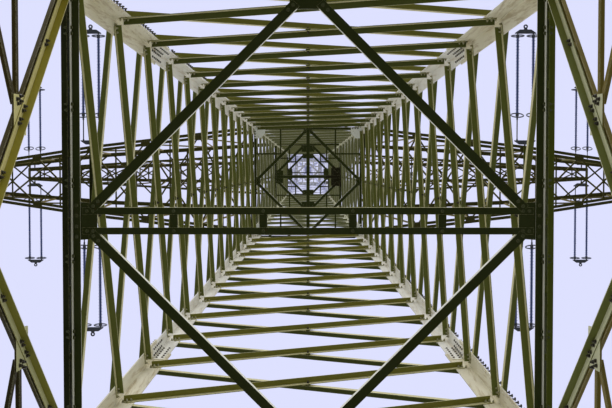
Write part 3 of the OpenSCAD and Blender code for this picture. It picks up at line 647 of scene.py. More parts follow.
BOLT_ZINC = PaintFinish(
    "bolt_zinc", Slot.BRACING, coat=(158, 156, 122), faded=(184, 182, 156), below=(142, 139, 97),
    stain=(104, 98, 68), speck=(120, 78, 54), edge_highlight=(228, 226, 208), breadth=20.0, rough=(0.4, 0.65),
    metallic=0.2, gloss=0.3)
DARK_BOLT = replace(
    BOLT_ZINC, name="dark_bolt", slot=Slot.LEG, coat=(62, 58, 44), faded=(86, 80, 62), below=(35, 33, 25),
    stain=(50, 42, 32), speck=(104, 62, 42), edge_highlight=(124, 118, 98))
FRAME_BOLT = replace(
    DARK_BOLT, name="frame_bolt", slot=Slot.FRAME, coat=(104, 105, 70), faded=(120, 120, 84),
    below=(55, 61, 31), edge_highlight=(94, 95, 60))
GLAZE = GlazeFinish("blue_glaze", Slot.GLAZE, coat=(51, 75, 153), pale=(69, 95, 170), dust=(93, 108, 148))
FITTING = PaintFinish(
    "fitting_zinc", Slot.GLAZE, coat=(86, 93, 102), faded=(120, 125, 133), below=(51, 56, 66),
    stain=(64, 60, 52), speck=(108, 72, 52), edge_highlight=(170, 170, 166), breadth=16.0, rough=(0.35, 0.6),
    metallic=0.3, gloss=0.4)
FINISHES = [LEG_COAT, LEG_CREAM, OLIVE_COAT, SUNNY_OLIVE, LIT_BASE_OLIVE, COOL_OLIVE, NECK_OLIVE, FRAME_COAT,
            ARM_COAT, DULL_ZINC, BOLT_ZINC, DARK_BOLT, FRAME_BOLT, GLAZE, FITTING]


def pick(*pieces: bpy.types.Object) -> None:
    """Makes some pieces the only selected ones, and the first of them active.

    Args:
        *pieces: The pieces.
    """
    bpy.ops.object.select_all(action="DESELECT")
    for piece in pieces:
        piece.select_set(True)
    bpy.context.view_layer.objects.active = pieces[0]


def join(name: str, pieces: Sequence[bpy.types.Object]) -> bpy.types.Object:
    """Joins pieces into the first one.

    Args:
        name: Name of the joined piece.
        pieces: The pieces to join.

    Returns:
        The joined piece.
    """
    pick(*pieces)
    if len(pieces) > 1:
        bpy.ops.object.join()
    piece = bpy.context.object
    piece.name = piece.data.name = name
    return piece


def settle(piece: bpy.types.Object) -> bpy.types.Object:
    """Puts a piece's place, turn and scale into its mesh.

    Args:
        piece: The piece.

    Returns:
        The same piece.
    """
    pick(piece)
    bpy.ops.object.transform_apply(location=True, rotation=True, scale=True)
    return piece


def move(piece: bpy.types.Object, place: Sequence[float],
         turn: Sequence[float] = (0, 0, 0)) -> bpy.types.Object:
    """Turns a piece, takes it to a place and puts both into its mesh.

    Args:
        piece: The piece.
        place: Where it goes.
        turn: Its angles about X, Y and Z.

    Returns:
        The same piece.
    """
    piece.rotation_euler = turn
    piece.location = place
    return settle(piece)


def start_shape(shape: Callable[..., object], **settings: object) -> bpy.types.Object:
    """Starts a piece from one of Blender's primitives, with nothing else selected.

    Args:
        shape: The operator that adds it.
        **settings: Its sizes and place.

    Returns:
        The new piece.
    """
    bpy.ops.object.select_all(action="DESELECT")
    shape(**settings)
    return settle(bpy.context.object)


def start_cylinder(sides: int, radius: float, depth: float, middle: float) -> bpy.types.Object:
    """Starts a piece from an upright cylinder on the Z axis, with its middle at a height."""
    return start_shape(bpy.ops.mesh.primitive_cylinder_add, vertices=sides, radius=radius, depth=depth,
                       location=(0, 0, middle))


def start_block(place: Sequence[float], size: Sequence[float]) -> bpy.types.Object:
    """Starts a piece from a block of some size, with its middle at a place."""
    return start_shape(bpy.ops.mesh.primitive_cube_add, size=1, location=place, scale=size)


def choose_faces(piece: bpy.types.Object, wanted: Callable[[bpy.types.MeshPolygon], bool]) -> None:
    """Opens a piece in edit mode with only some faces selected.

    Args:
        piece: The piece.
        wanted: Test that takes a face and says whether it is selected.
    """
    pick(piece)
    bpy.context.tool_settings.mesh_select_mode = (False, False, True)
    bpy.ops.object.mode_set(mode="EDIT")
    bpy.ops.mesh.select_all(action="DESELECT")
    bpy.ops.object.mode_set(mode="OBJECT")
    for face in piece.data.polygons:
        face.select = bool(wanted(face))
    bpy.ops.object.mode_set(mode="EDIT")


def close_edit() -> None:
    """Leaves edit mode."""
    bpy.ops.object.mode_set(mode="OBJECT")


def inset_end(piece: bpy.types.Object, inset: float, depth: float, way: int = 1, push: float = 0.0) -> None:
    """Insets the face at one end of a piece, which chamfers its edge there, and may extrude the inset face.

    Args:
        piece: The piece.
        inset: Width of the chamfer.
        depth: How far the inset face moves out; negative moves it in.
        way: 1 for the topmost face, -1 for the lowest.
        push: How far up the inset face is then extruded.
    """
    end = max(way * vertex.co.z for vertex in piece.data.vertices)
    choose_faces(piece, lambda face: way * face.normal.z > FACING and abs(way * face.center.z - end) < NEAR)
    bpy.ops.mesh.inset(thickness=inset, depth=depth)
    if push:
        bpy.ops.mesh.extrude_region_move(TRANSFORM_OT_translate={"value": (0, 0, push)})
    close_edit()


def bevel(piece: bpy.types.Object, width: float, segments: int = 1,
          wanted: Callable[[bpy.types.MeshPolygon], bool] = lambda face: True) -> bpy.types.Object:
    """Bevels the edges of some or all faces.

    Args:
        piece: The piece.
        width: Width of the bevel.
        segments: Number of its steps.
        wanted: Test that takes a face and says whether its edges are bevelled.

    Returns:
        The piece.
    """
    choose_faces(piece, wanted)
    bpy.ops.mesh.bevel(offset=width, segments=segments, affect="EDGES")
    close_edit()
    return piece


def trim(piece: bpy.types.Object, point: Sequence[float], normal: Sequence[float]) -> None:
    """Cuts off what lies beyond a plane and closes the cut.

    Args:
        piece: The piece.
        point: A point of the plane.
        normal: Direction of what is cut off.
    """
    pick(piece)
    bpy.ops.object.mode_set(mode="EDIT")
    bpy.ops.mesh.select_all(action="SELECT")
    bpy.ops.mesh.bisect(plane_co=point, plane_no=normal, clear_outer=True, use_fill=True)
    close_edit()


def apply_modifier(piece: bpy.types.Object, kind: str, settings: dict) -> None:
    """Adds a modifier to a piece and applies it.

    Args:
        piece: The piece.
        kind: Blender's name for the type of modifier.
        settings: Its properties.
    """
    modifier = piece.modifiers.new(kind.lower(), kind)
    for name, value in settings.items():
        setattr(modifier, name, value)
    pick(piece)
    bpy.ops.object.modifier_apply(modifier=modifier.name)


def copy_of(piece: bpy.types.Object) -> bpy.types.Object:
    """Copies a piece with a mesh of its own.

    Args:
        piece: The piece.

    Returns:
        The copy.
    """
    copy = piece.copy()
    copy.data = piece.data.copy()
    bpy.context.scene.collection.objects.link(copy)
    return copy


def set_copies(pattern: bpy.types.Object, places: Sequence[Matrix]) -> list[bpy.types.Object]:
    """Copies a piece to several places, each copy with its own mesh, and takes the pattern away.

    Args:
        pattern: The modelled piece.
        places: Where the copies go.

    Returns:
        The copies.
    """
    copies = []
    for place in places:
        copy = copy_of(pattern)
        copy.matrix_world = place
        copies.append(settle(copy))
    bpy.data.objects.remove(pattern)
    return copies


@dataclass(frozen=True)
class Spot:
    """Place of a small piece, the direction that it faces, and its size."""

    place: Vector
    aim: Vector
    size: float = 1.0


class Scatter:
    """Sets real copies of one modelled piece at many spots."""

    def __init__(self, pattern: bpy.types.Object) -> None:
        """Builds the nodes that set the copies.

        Args:
            pattern: The piece that is copied.
        """
        self.tree = bpy.data.node_groups.new(f"set_{pattern.name}", "GeometryNodeTree")
        for way in ("INPUT", "OUTPUT"):
            self.tree.interface.new_socket("Geometry", in_out=way, socket_type="NodeSocketGeometry")
        board = NodeBoard(self.tree)
        stored = [board.add("GeometryNodeInputNamedAttribute", {"data_type": kind}, Name=label)
                  for label, kind in (("aim", "FLOAT_VECTOR"), ("size", "FLOAT"))]
        aim, size = [next(s for s in node.outputs if s.enabled and s.name == "Attribute") for node in stored]
        turn = board.add("FunctionNodeAlignRotationToVector", {"axis": "Z"}, Vector=aim)
        source = board.add("GeometryNodeObjectInfo", None, Object=pattern, As_Instance=True)
        points = board.add("NodeGroupInput").outputs[0]
        copies = board.add("GeometryNodeInstanceOnPoints", None, Points=points,
                           Instance=source.outputs["Geometry"], Rotation=turn.outputs["Rotation"], Scale=size)
        real = board.add("GeometryNodeRealizeInstances", None, Geometry=copies.outputs[0])
        board.add("NodeGroupOutput", None, Geometry=real.outputs[0])

    def place(self, name: str, spots: Sequence[Spot]) -> bpy.types.Object:
        """Sets one copy at each spot.

        Args:
            name: Name of the new piece.
            spots: Where the copies go.

        Returns:
            One piece that holds all the copies.
        """
        mesh = bpy.data.meshes.new(name)
        mesh.from_pydata([spot.place for spot in spots], [], [])
        mesh.attributes.new("aim", "FLOAT_VECTOR", "POINT").data.foreach_set(
            "vector", [part for spot in spots for part in spot.aim])
        mesh.attributes.new("size", "FLOAT", "POINT").data.foreach_set("value", [spot.size for spot in spots])
        piece = bpy.data.objects.new(name, mesh)
        bpy.context.scene.collection.objects.link(piece)
        apply_modifier(piece, "NODES", {"node_group": self.tree})
        return piece


@dataclass
class Hardware:
    """Models one bolt head with its washer and one nut with the bolt's end, which every joint copies."""

    across: float = 0.0125
    head_h: float = 0.0058
    nut_h: float = 0.0072
    washer_r: float = 0.0092
    washer_t: float = 0.0016
    shank_r: float = 0.0046
    shank_out: float = 0.0062
    bevel: Flat = (0.1, 0.05)
    washer_bevel: float = 0.5
    end_bevel: Flat = (0.25, 0.2)
    heads: Scatter = field(init=False)
    nuts: Scatter = field(init=False)

    def __post_init__(self) -> None:
        """Models the two patterns and gets their scatters ready."""
        self.heads = Scatter(self.model_head())
        self.nuts = Scatter(self.model_nut())

    def model_hexagon(self, height: float) -> bpy.types.Object:
        """Models a hexagon with a chamfered upper edge over the washer.

        Args:
            height: Its height.

        Returns:
            The hexagon.
        """
        hexagon = start_cylinder(6, self.across / math.sqrt(3), height, self.washer_t + height / 2)
        inset_end(hexagon, *[self.across * part for part in self.bevel])
        return hexagon

    def model_washer(self) -> bpy.types.Object:
        """Models the washer under a head or nut.

        Returns:
            The washer.
        """
        washer = start_cylinder(10, self.washer_r, self.washer_t, self.washer_t / 2)
        inset_end(washer, self.washer_t * self.washer_bevel, 0.0)
        return washer

    def model_head(self) -> bpy.types.Object:
        """Models a bolt head on its washer and returns it."""
        return self.stow(join("bolt_head_pattern", [self.model_hexagon(self.head_h), self.model_washer()]))

    def model_nut(self) -> bpy.types.Object:
        """Models a nut on its washer, with the end of the bolt standing out.

        Returns:
            The nut.
        """
        length = self.nut_h + self.shank_out
        shank = start_cylinder(7, self.shank_r, length, self.washer_t + length / 2)
        inset_end(shank, *[self.shank_r * part for part in self.end_bevel])
        return self.stow(join("nut_pattern", [self.model_hexagon(self.nut_h), self.model_washer(), shank]))

    def stow(self, pattern: bpy.types.Object) -> bpy.types.Object:
        """Takes a pattern out of the scene, so that only its copies are seen.

        Args:
            pattern: The pattern.

        Returns:
            The same pattern.
        """
        for home in list(pattern.users_collection):
            home.objects.unlink(pattern)
        return pattern


class Workshop:
    """Holds the finishes and the shared hardware, and hands finished pieces in."""

    def __init__(self) -> None:
        """Builds the finishes and the hardware."""
        groups = WeatherAndLightGroups()
        self.materials = {finish.name: finish.build(groups) for finish in FINISHES}
        self.hardware = Hardware()

    def dress(self, piece: bpy.types.Object, finish: PaintFinish | GlazeFinish) -> None:
        """Gives a piece one finish."""
        piece.data.materials.clear()
        piece.data.materials.append(self.materials[finish.name])

    def hand_in(self, piece: bpy.types.Object, finish: PaintFinish | GlazeFinish) -> bpy.types.Object:
        """Gives a finished piece its coat and its body.

        Args:
            piece: The piece.
            finish: Its finish.

        Returns:
            The same piece.
        """
        self.dress(piece, finish)
        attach(piece, BODY)
        return piece


@dataclass
class Bolts:
    """The bolts of one sub-assembly."""

    name: str
    finish: PaintFinish
    size: float = 1.0
    heads: list[Spot] = field(default_factory=list)
    nuts: list[Spot] = field(default_factory=list)

    def through(self, place: Vector, axis: Vector, ahead: float, behind: float) -> None:
        """Puts a bolt through a place, its head seated ahead of it along the axis and its nut behind."""
        self.heads.append(Spot(place + axis * ahead, axis, self.size))
        self.nuts.append(Spot(place - axis * behind, -axis, self.size))

    def build(self, shop: Workshop) -> bpy.types.Object:
        """Sets the bolts.

        Args:
            shop: The workshop.

        Returns:
            One piece that holds them.
        """
        heads = shop.hardware.heads.place(self.name, self.heads)
        nuts = shop.hardware.nuts.place(self.name, self.nuts)
        return shop.hand_in(join(self.name, [heads, nuts]), self.finish)


class Members:
    """The steel members of the CAD model, each with the finish of its kind."""

    USUAL = {Slot.LEG: LEG_COAT, Slot.BRACING: OLIVE_COAT, Slot.FRAME: FRAME_COAT, Slot.ARM: ARM_COAT,
             Slot.GLAZE: GLAZE}
    OWN = {("leg_lower",): LEG_CREAM,
           ("base_bracing_left", "base_bracing_front"): LIT_BASE_OLIVE,
           ("base_bracing_right", "base_bracing_back"): COOL_OLIVE,
           ("neck_bracing", "leg_upper", "peak"): NECK_OLIVE,
           ("body_bracing_front", "body_bracing_back"): SUNNY_OLIVE}

    def dress(self, shop: Workshop) -> int:
        """Gives every CAD node its finish, by the start of its name or else by its slot.

        Args:
            shop: The workshop.

        Returns:
            The number of nodes.
        """
        for part in frame["record"]["subparts"]:
            name, usual = part["node"], self.USUAL[Slot(part["material_slot"])]
            own = [finish for starts, finish in self.OWN.items() if name.startswith(starts)]
            shop.dress(frame["nodes"][name], own[0] if own else usual)
        return len(frame["nodes"])


@dataclass
class CrossedPanels:
    """Bolts of a stack of crossed panels, the same on all four sides."""

    name: str
    bottom: float
    top: float
    count: int
    lip: float
    inner_bolts: int
    outer_bolts: int
    size: float = 1.0
    pitch: float = 0.028
    edge: float = 0.014
    free_flange: float = 0.3
    bar_t: float = 0.005

    def build(self, shop: Workshop) -> list[bpy.types.Object]:
        """Sets the bolts at the ends and crossings of the bars.

        Args:
            shop: The workshop.

        Returns:
            One piece for the ends and one for the crossings.
        """
        ends = Bolts(f"{self.name}_end_bolts", BOLT_ZINC, self.size)
        crossings = Bolts(f"{self.name}_crossing_bolts", DARK_BOLT, self.size)
        heights = TOWER.levels(self.bottom, self.top, self.count)
        for side in SIDES:
            for low, high in zip(heights, heights[1:]):
                self.bolt_panel(ends, crossings, side, low, high)
        return [ends.build(shop), crossings.build(shop)]

    def bolt_panel(self, ends: Bolts, crossings: Bolts, side: Side, low: float, high: float) -> None:
        """Adds the bolts of one panel.

        Args:
            ends: Where the bolts of the bars' ends go.
            crossings: Where those of the crossings go.
            side: Side of the tower.
            low: Height of the panel's foot.
            high: Height of its top.
        """
        leg = min(TOWER.leg(low), TOWER.leg(high))
        e_low, e_high = TOWER.half(low) - leg / 2, TOWER.half(high) - leg / 2
        inner = ((-e_high, high), (e_low, low))
        outer = ((-e_low, low), (e_high, high))
        stand_in = TOWER.leg_t + self.lip + 2 * TOWER.clear + self.edge
        stand_out = leg * self.free_flange + self.edge
        for sign in (-1, 1):
            for i in range(self.inner_bolts):
                x = sign * (TOWER.half(high if sign < 0 else low) - stand_in - self.pitch * i)
                ends.through(side.at(*between(*inner, x)), side.outward, 0.0, TOWER.leg_t + self.bar_t)
            for i in range(self.outer_bolts):
                x = sign * (TOWER.half(low if sign < 0 else high) - stand_out - self.pitch * i)
                ends.through(side.at(*between(*outer, x)), side.outward, self.bar_t, TOWER.leg_t)
        crossings.through(side.at(*between(*inner, 0.0)), side.outward, self.bar_t, TOWER.leg_t + self.bar_t)


@dataclass
class BasePanels:
    """Bolts of the two tall base panels on every side."""

    end_gap: float = 0.135
    bar_w: float = 0.045
    red_w: float = 0.032
    node: float = 0.56
    red_gap: float = 0.060
    free_flange: float = 0.3
    size: float = 1.25
    pitch: float = 0.033
    red_pitch: float = 0.8
    cross_first: float = 0.09
    leg_bolts: int = 3
    leg_edge: float = 0.018
    plate_edge: float = 0.012
    red_edge: float = 0.016
    stitches: Sequence[float] = (0.26, 0.78)

    def build(self, shop: Workshop) -> list[bpy.types.Object]:
        """Sets the bolts at the legs, the crossings and the redundant members.

        Args:
            shop: The workshop.

        Returns:
            The piece that holds them.
        """
        bolts = Bolts("base_bolts", DARK_BOLT, self.size)
        spans = ((TOWER.foot_t + self.end_gap, TOWER.mid_base - self.end_gap / 2),
                 (TOWER.mid_base + self.end_gap / 2, TOWER.waist - self.end_gap))
        for side in SIDES:
            for low, high in spans:
                self.bolt_panel(bolts, side, low, high)
        return [bolts.build(shop)]

    def bolt_panel(self, bolts: Bolts, side: Side, low: float, high: float) -> None:
        """Adds the bolts of one tall panel.

        Args:
            bolts: Where they go.
            side: Side of the tower.
            low: Height of the panel's foot.
            high: Height of its top.
        """
        leg, t = TOWER.leg_low, TOWER.bar_t
        e_low, e_high = TOWER.half(low) - leg / 2, TOWER.half(high) - leg / 2
        middle = Vector((0.0, low + (high - low) * e_low / (e_low + e_high)))
        spots = [middle]
        for sign in (-1, 1):
            for z, e in ((low, e_low), (high, e_high)):
                corner = Vector((sign * e, z))
                along = (corner - middle).normalized()
                end = abs((TOWER.half(z) - TOWER.leg_t - self.bar_w - 2 * TOWER.clear) / along.x)
                spots += [middle + along * distance for distance in (
                    self.cross_first, self.cross_first + self.pitch,
                    *[end - self.leg_edge - self.pitch * i for i in range(self.leg_bolts)])]
                node = corner * (1 - self.node) + middle * self.node
                spots += [node + along * step * self.pitch for step in (-2, -1, 1, 2)]
                for part in self.stitches:
                    stitch = corner * (1 - part) + middle * part
                    spots += [stitch + along * step * self.pitch for step in (-0.5, 0.5)]
                rise = math.copysign(self.red_gap, z - middle.y)
                for leg_z in (node.y, middle.y + rise):
                    flange = Vector((sign * (TOWER.half(leg_z) - leg * self.free_flange), leg_z))
                    self.bolt_redundant(bolts, side, node, flange)
        for spot in spots:
            bolts.through(side.at(*spot), side.outward, t, TOWER.leg_t + t)

    def bolt_redundant(self, bolts: Bolts, side: Side, node: Vector, end: Vector) -> None:
        """Adds the bolts at both ends of a redundant member.

        Args:
            bolts: Where they go.
            side: Side of the tower.
            node: Centre of the plate where it starts.
            end: Its end on the leg.
        """
        along = (end - node).normalized()
        first = self.bar_w / 2 + self.red_w + self.plate_edge
        for start, way, edge in ((node, 1, first), (end, -1, self.red_edge)):
            for distance in (edge, edge + self.pitch * self.red_pitch):
                spot = side.at(*(start + along * way * distance))
                bolts.through(spot, side.outward, TOWER.bar_t, TOWER.leg_t)


@dataclass
class LegSplices:
    """Bolts of the two leg splices: two rows along each flange."""

    rows: int = 6
    pitches: Flat = (0.065, 0.045)
    sizes: Flat = (1.05, 0.9)
    gauges: tuple[Flat, Flat] = ((0.036, 0.082), (0.031, 0.062))
    end_r: float = 0.0055
    end_l: float = 0.034
    end_gap: float = 0.001
    chamfer: float = 0.0015
    crown: float = 0.0012

    def build(self, shop: Workshop) -> list[bpy.types.Object]:
        """Sets the bolts of both splices.

        Args:
            shop: The workshop.

        Returns:
            One piece for each splice, and the bolts' long ends.
        """
        sets = [Bolts("low_splice_bolts", DARK_BOLT, self.sizes[0]),
                Bolts("top_splice_bolts", BOLT_ZINC, self.sizes[1])]
        splices = (TOWER.low_splice, TOWER.top_splice)
        t, leg_t = TOWER.bar_t, TOWER.leg_t
        places = []
        for bolts, z, pitch, gauges in zip(sets, splices, self.pitches, self.gauges):
            for side in SIDES:
                for row in range(self.rows):
                    level = z + (row - (self.rows - 1) / 2) * pitch
                    for x in [sign * (TOWER.half(level) - gauge) for sign in (-1, 1) for gauge in gauges]:
                        bolts.through(side.at(x, level), -side.outward, leg_t + t, t)
                        places.append(side.stand(side.at(x, level, t)))
        ends = join("splice_bolt_ends", set_copies(self.model_end(), places))
        return [*[bolts.build(shop) for bolts in sets], shop.hand_in(ends, DARK_BOLT)]

    def model_end(self) -> bpy.types.Object:
        """Models the long threaded end of a bolt on its nut, upright on the origin.

        Returns:
            The end.
        """
        end = start_cylinder(8, self.end_r, self.end_l, self.end_l / 2 + self.end_gap)
        inset_end(end, self.chamfer, self.crown)
        return end


@dataclass
class StepBolts:
    """Step bolts up the middle lengths of two opposite legs, between the ends of the body's bars."""

    pitch: float = 0.085
    edge: float = 0.016
    near_bar: float = 0.062
    near_splice: float = 0.22
    radius: float = 0.006
    length: float = 0.028
    head_r: float = 0.012
    head_t: float = 0.006
    gap: float = 0.001
    chamfer: float = 0.0015
    crown: float = 0.001
    nut_size: float = 0.75

    def build(self, shop: Workshop) -> list[bpy.types.Object]:
        """Models one step bolt and sets it up both legs, with a nut on either face of the flange.

        Args:
            shop: The workshop.

        Returns:
            The step bolts and their nuts.
        """
        bars = TOWER.body_levels
        nuts = Bolts("step_bolt_nuts", LEG_COAT, self.nut_size)
        places = []
        for side, sign in ((SIDES[0], -1), (SIDES[1], 1)):
            for i in range(int((bars[-1] - bars[0]) / self.pitch)):
                z = bars[0] + self.pitch * i
                if min(abs(z - bar) for bar in bars) < self.near_bar:
                    continue
                if abs(z - TOWER.low_splice) < self.near_splice:
                    continue
                place = side.at(sign * (TOWER.half(z) - TOWER.leg(z) + self.edge), z)
                nuts.through(place, -side.outward, TOWER.leg_t, 0.0)
                places.append(side.stand(place))
        pegs = join("step_bolts", set_copies(self.model_peg(), places))
        return [shop.hand_in(pegs, DARK_BOLT), nuts.build(shop)]

    def model_peg(self) -> bpy.types.Object:
        """Models a step bolt upright on the origin: a shank with a flat round head.

        Returns:
            The step bolt.
        """
        pieces = []
        for sides, radius, low, high in ((8, self.radius, self.gap, self.length),
                                         (10, self.head_r, self.length, self.length + self.head_t)):
            pieces.append(start_cylinder(sides, radius, high - low, (low + high) / 2))
            inset_end(pieces[-1], self.chamfer, self.crown)
        return join("step_bolt", pieces)


@dataclass
class PlanFrame:
    """Bolts of a level frame: its horizontals, mid-side plates and diamond braces."""

    name: str
    z: float
    ring_w: float
    brace_w: float
    plate_l: float
    size: float
    stitches: Sequence[float]
    brace_near: float
    brace_free: float
    seat: float
    brace_bolts: int = 2
    plate_bolts: Sequence[float] = (0.3,)
    stitch_pitch: float = 0.013
    end_edge: float = 0.018
    end_pitch: float = 0.026
    plate_gauge: float = 0.55
    brace_gauge: float = 0.45
    brace_edge: float = 0.016
    brace_pitch: float = 0.03
    gap: float = 0.001

    def build(self, shop: Workshop) -> list[bpy.types.Object]:
        """Sets the frame's bolts.

        Args:
            shop: The workshop.

        Returns:
            The piece that holds them.
        """
        bolts = Bolts(self.name, FRAME_BOLT, self.size)
        t, leg_t = TOWER.bar_t, TOWER.leg_t
        half = TOWER.half(self.z)
        end = half - leg_t - self.ring_w - TOWER.clear - self.end_edge
        stitch = self.size * self.stitch_pitch
        for side in SIDES:
            for x in [place + step * stitch for place in self.stitches for step in (-1, 1)]:
                bolts.through(side.at(x, self.z), -side.outward, leg_t + t, t)
            for x in [sign * (end - self.end_pitch * i) for sign in (-1, 1) for i in (0, 1)]:
                bolts.through(side.at(x, self.z), -side.outward, leg_t + t, 0.0)
            self.bolt_plan(bolts, side.spin, half)
        return [bolts.build(shop)]

    def bolt_plan(self, bolts: Bolts, spin: Matrix, half: float) -> None:
        """Adds the upright bolts of one quarter.

        Args:
            bolts: Where they go.
            spin: Turn from the front to this quarter.
            half: Half the tower's width at this height.
        """
        t, gauge = TOWER.bar_t, self.ring_w * self.plate_gauge
        flange_y = half - TOWER.leg_t - gauge
        flange_low = self.z + self.ring_w / 2 - (TOWER.leg_t + gauge) * TOWER.slope - t
        for x in [sign * self.plate_l * part for sign in (-1, 1) for part in self.plate_bolts]:
            bolts.through(spin @ Vector((x, -flange_y, flange_low)), DOWN, 0.0, self.seat + t - flange_low)
        along = Vector((1, 1, 0)).normalized()
        aside = Vector((-1, 1, 0)).normalized() * self.brace_w * self.brace_gauge
        under = self.seat - t + self.gap
        for start, way in ((Vector((self.brace_near, -self.brace_free, under)), 1),
                           (Vector((self.brace_free, -self.brace_near, under)), -1)):
            for i in range(self.brace_bolts):
                distance = (self.brace_edge + self.brace_pitch * i) * self.size
                bolts.through(spin @ (start + along * way * distance + aside), DOWN, 0.0, 2 * t)


@dataclass
class WaistTies:
    """Bolts of the waist's pair of tie bars and their battens."""

    rise: float = 0.0229
    pitch: float = 0.116
    battens: int = 4
    batten_pitch: float = 0.518
    reach: float = 1.2988
    edge: float = 0.02
    end_pitch: float = 0.035
    gap: float = 0.0016
    size: float = 1.2

    def build(self, shop: Workshop) -> list[bpy.types.Object]:
        """Sets the bolts.

        Args:
            shop: The workshop.

        Returns:
            The piece that holds them.
        """
        bolts = Bolts("waist_tie_bolts", FRAME_BOLT, self.size)
        t, seat = TOWER.bar_t, TOWER.waist + self.rise
        under = seat - t + self.gap
        end = self.reach - self.edge
        for y in (-self.pitch / 2, self.pitch / 2):
            for x in [sign * (end - self.end_pitch * i) for sign in (-1, 1) for i in (0, 1)]:
                bolts.through(Vector((x, y, under)), DOWN, 0.0, seat + t - under)
            for i in range(self.battens):
                x = (i - (self.battens - 1) / 2) * self.batten_pitch
                bolts.through(Vector((x, y, under)), DOWN, 0.0, 2 * t)
        return [bolts.build(shop)]


@dataclass
class CornerPlates:
    """Bright plates under the corners of a level frame, bolted to its horizontals beside the legs."""

    name: str
    z: float
    ring_w: float
    reach: float
    size: float
    thickness: float = 0.006
    leg_gap: float = 0.007
    under: float = 0.0005
    chamfer: float = 0.45
    gauge: float = 0.5
    bolt_steps: Sequence[float] = (0.36, 0.6, 0.84)

    def build(self, shop: Workshop) -> list[bpy.types.Object]:
        """Models one plate, copies it to the four corners and bolts each of them.

        Args:
            shop: The workshop.

        Returns:
            The plates and their bolts.
        """
        outer = TOWER.half(self.z) - TOWER.leg_t - self.leg_gap
        top = self.z + self.ring_w / 2 - (TOWER.leg_t + self.ring_w) * TOWER.slope - TOWER.bar_t - self.under
        middle = outer - self.reach / 2
        plate = start_block((middle, -middle, top - self.thickness / 2),
                            (self.reach, self.reach, self.thickness))
        cut = middle - self.reach * (0.5 - self.chamfer / 2)
        trim(plate, (cut, -cut, 0), (-1, 1, 0))
        plates = set_copies(plate, [side.spin.to_4x4() for side in SIDES])
        bolts = Bolts(f"{self.name}_bolts", DARK_BOLT, self.size)
        row = outer - self.ring_w * self.gauge + self.leg_gap
        for side in SIDES:
            for x in [outer - self.reach * part for part in self.bolt_steps]:
                for place in (Vector((x, -row, top)), Vector((row, -x, top))):
                    bolts.through(side.spin @ place, DOWN, self.thickness, TOWER.bar_t * 2)
        return [shop.hand_in(join(self.name, plates), DULL_ZINC), bolts.build(shop)]


@dataclass
class ArmJoints:
    """Joint plates and bolts under the arms' bottom chords, and the struts that carry the insulators."""

    name: str
    z: float
    line: Sequence[Flat]
    stations: Sequence[float]
    carriers: Sequence[float]
    strut_w: float
    inset: float
    depth: float
    length: float = 0.13
    thickness: float = 0.005
    gap: float = 0.0004
    corner: float = 0.032
    slant: Flat = (0.8, 0.6)
    rim: float = 0.0008
    edge: float = 0.018
    inner_edge: float = 0.014
    inner_pitch: float = 0.45
    grip: float = 0.006
    strut_h: float = 0.022
    wall: float = 0.004
    size: float = 0.8

    def half_at(self, x: float) -> tuple[float, float]:
        """Follows the chord's line.

        Args:
            x: Distance from the tower's axis.

        Returns:
            The line's distance from the arm's middle plane there, and its turn.
        """
        for a, b in zip(self.line, self.line[1:]):
            if x <= b[0]:
                break
        return between(a, b, x)[1], math.atan2(b[1] - a[1], b[0] - a[0])

    def build(self, shop: Workshop) -> list[bpy.types.Object]:
        """Models one plate and one strut, and sets them on both arms.

        Args:
            shop: The workshop.

        Returns:
            The plates and struts, and the bolts.
        """
        places = []
        for x in self.stations:
            half, turn = self.half_at(x)
            for arm in (-1, 1):
                for side in (-1, 1):
                    spin = arm * side * turn + (math.pi if side < 0 else 0)
                    place = Matrix.Translation((arm * x, side * half, self.z))
                    places.append(place @ Matrix.Rotation(spin, 4, "Z"))
        bolts = Bolts(f"{self.name}_bolts", DARK_BOLT, self.size)
        along = self.length / 2 - self.edge
        outer_y, inner_y = -self.inset - self.edge, -self.inset - self.depth + self.inner_edge
        inner_x = along * self.inner_pitch
        spots = [*[(x, outer_y) for x in (-along, -along / 3, along / 3, along)],
                 *[(x, inner_y) for x in (-inner_x, inner_x)]]
        for place in places:
            for x, y in spots:
                bolts.through(place @ Vector((x, y, -self.gap)), DOWN, self.thickness, self.grip)
        plates = set_copies(self.model_plate(), places)
        struts = [self.model_strut(arm * x) for x in self.carriers for arm in (-1, 1)]
        return [shop.hand_in(join(f"{self.name}_plates", plates), ARM_COAT),
                shop.hand_in(join(f"{self.name}_struts", struts), FRAME_COAT), bolts.build(shop)]

    def model_plate(self) -> bpy.types.Object:
        """Models a joint plate with two slanted corners on the side of the arm's middle.

        Returns:
            The plate.
        """
        plate = start_block((0, -self.inset - self.depth / 2, -self.gap - self.thickness / 2),
                            (self.length, self.depth, self.thickness))
        for sign in (-1, 1):
            trim(plate, (sign * (self.length / 2 - self.corner), -self.inset - self.depth, 0),
                 (sign * self.slant[0], -self.slant[1], 0))
        inset_end(plate, self.rim, 0.0, way=-1)
        return plate

    def model_strut(self, x: float) -> bpy.types.Object:
        """Models a channel across the arm, open to below.

        Args:
            x: Its distance from the tower's axis.

        Returns:
            The channel.
        """
        half = self.half_at(abs(x))[0] - self.inset
        top = self.z - self.gap - self.thickness
        strut = start_block((x, 0, top - self.strut_h / 2), (self.strut_w, 2 * half, self.strut_h))
        inset_end(strut, self.wall, 0.0, way=-1, push=self.strut_h - self.wall)
        return strut


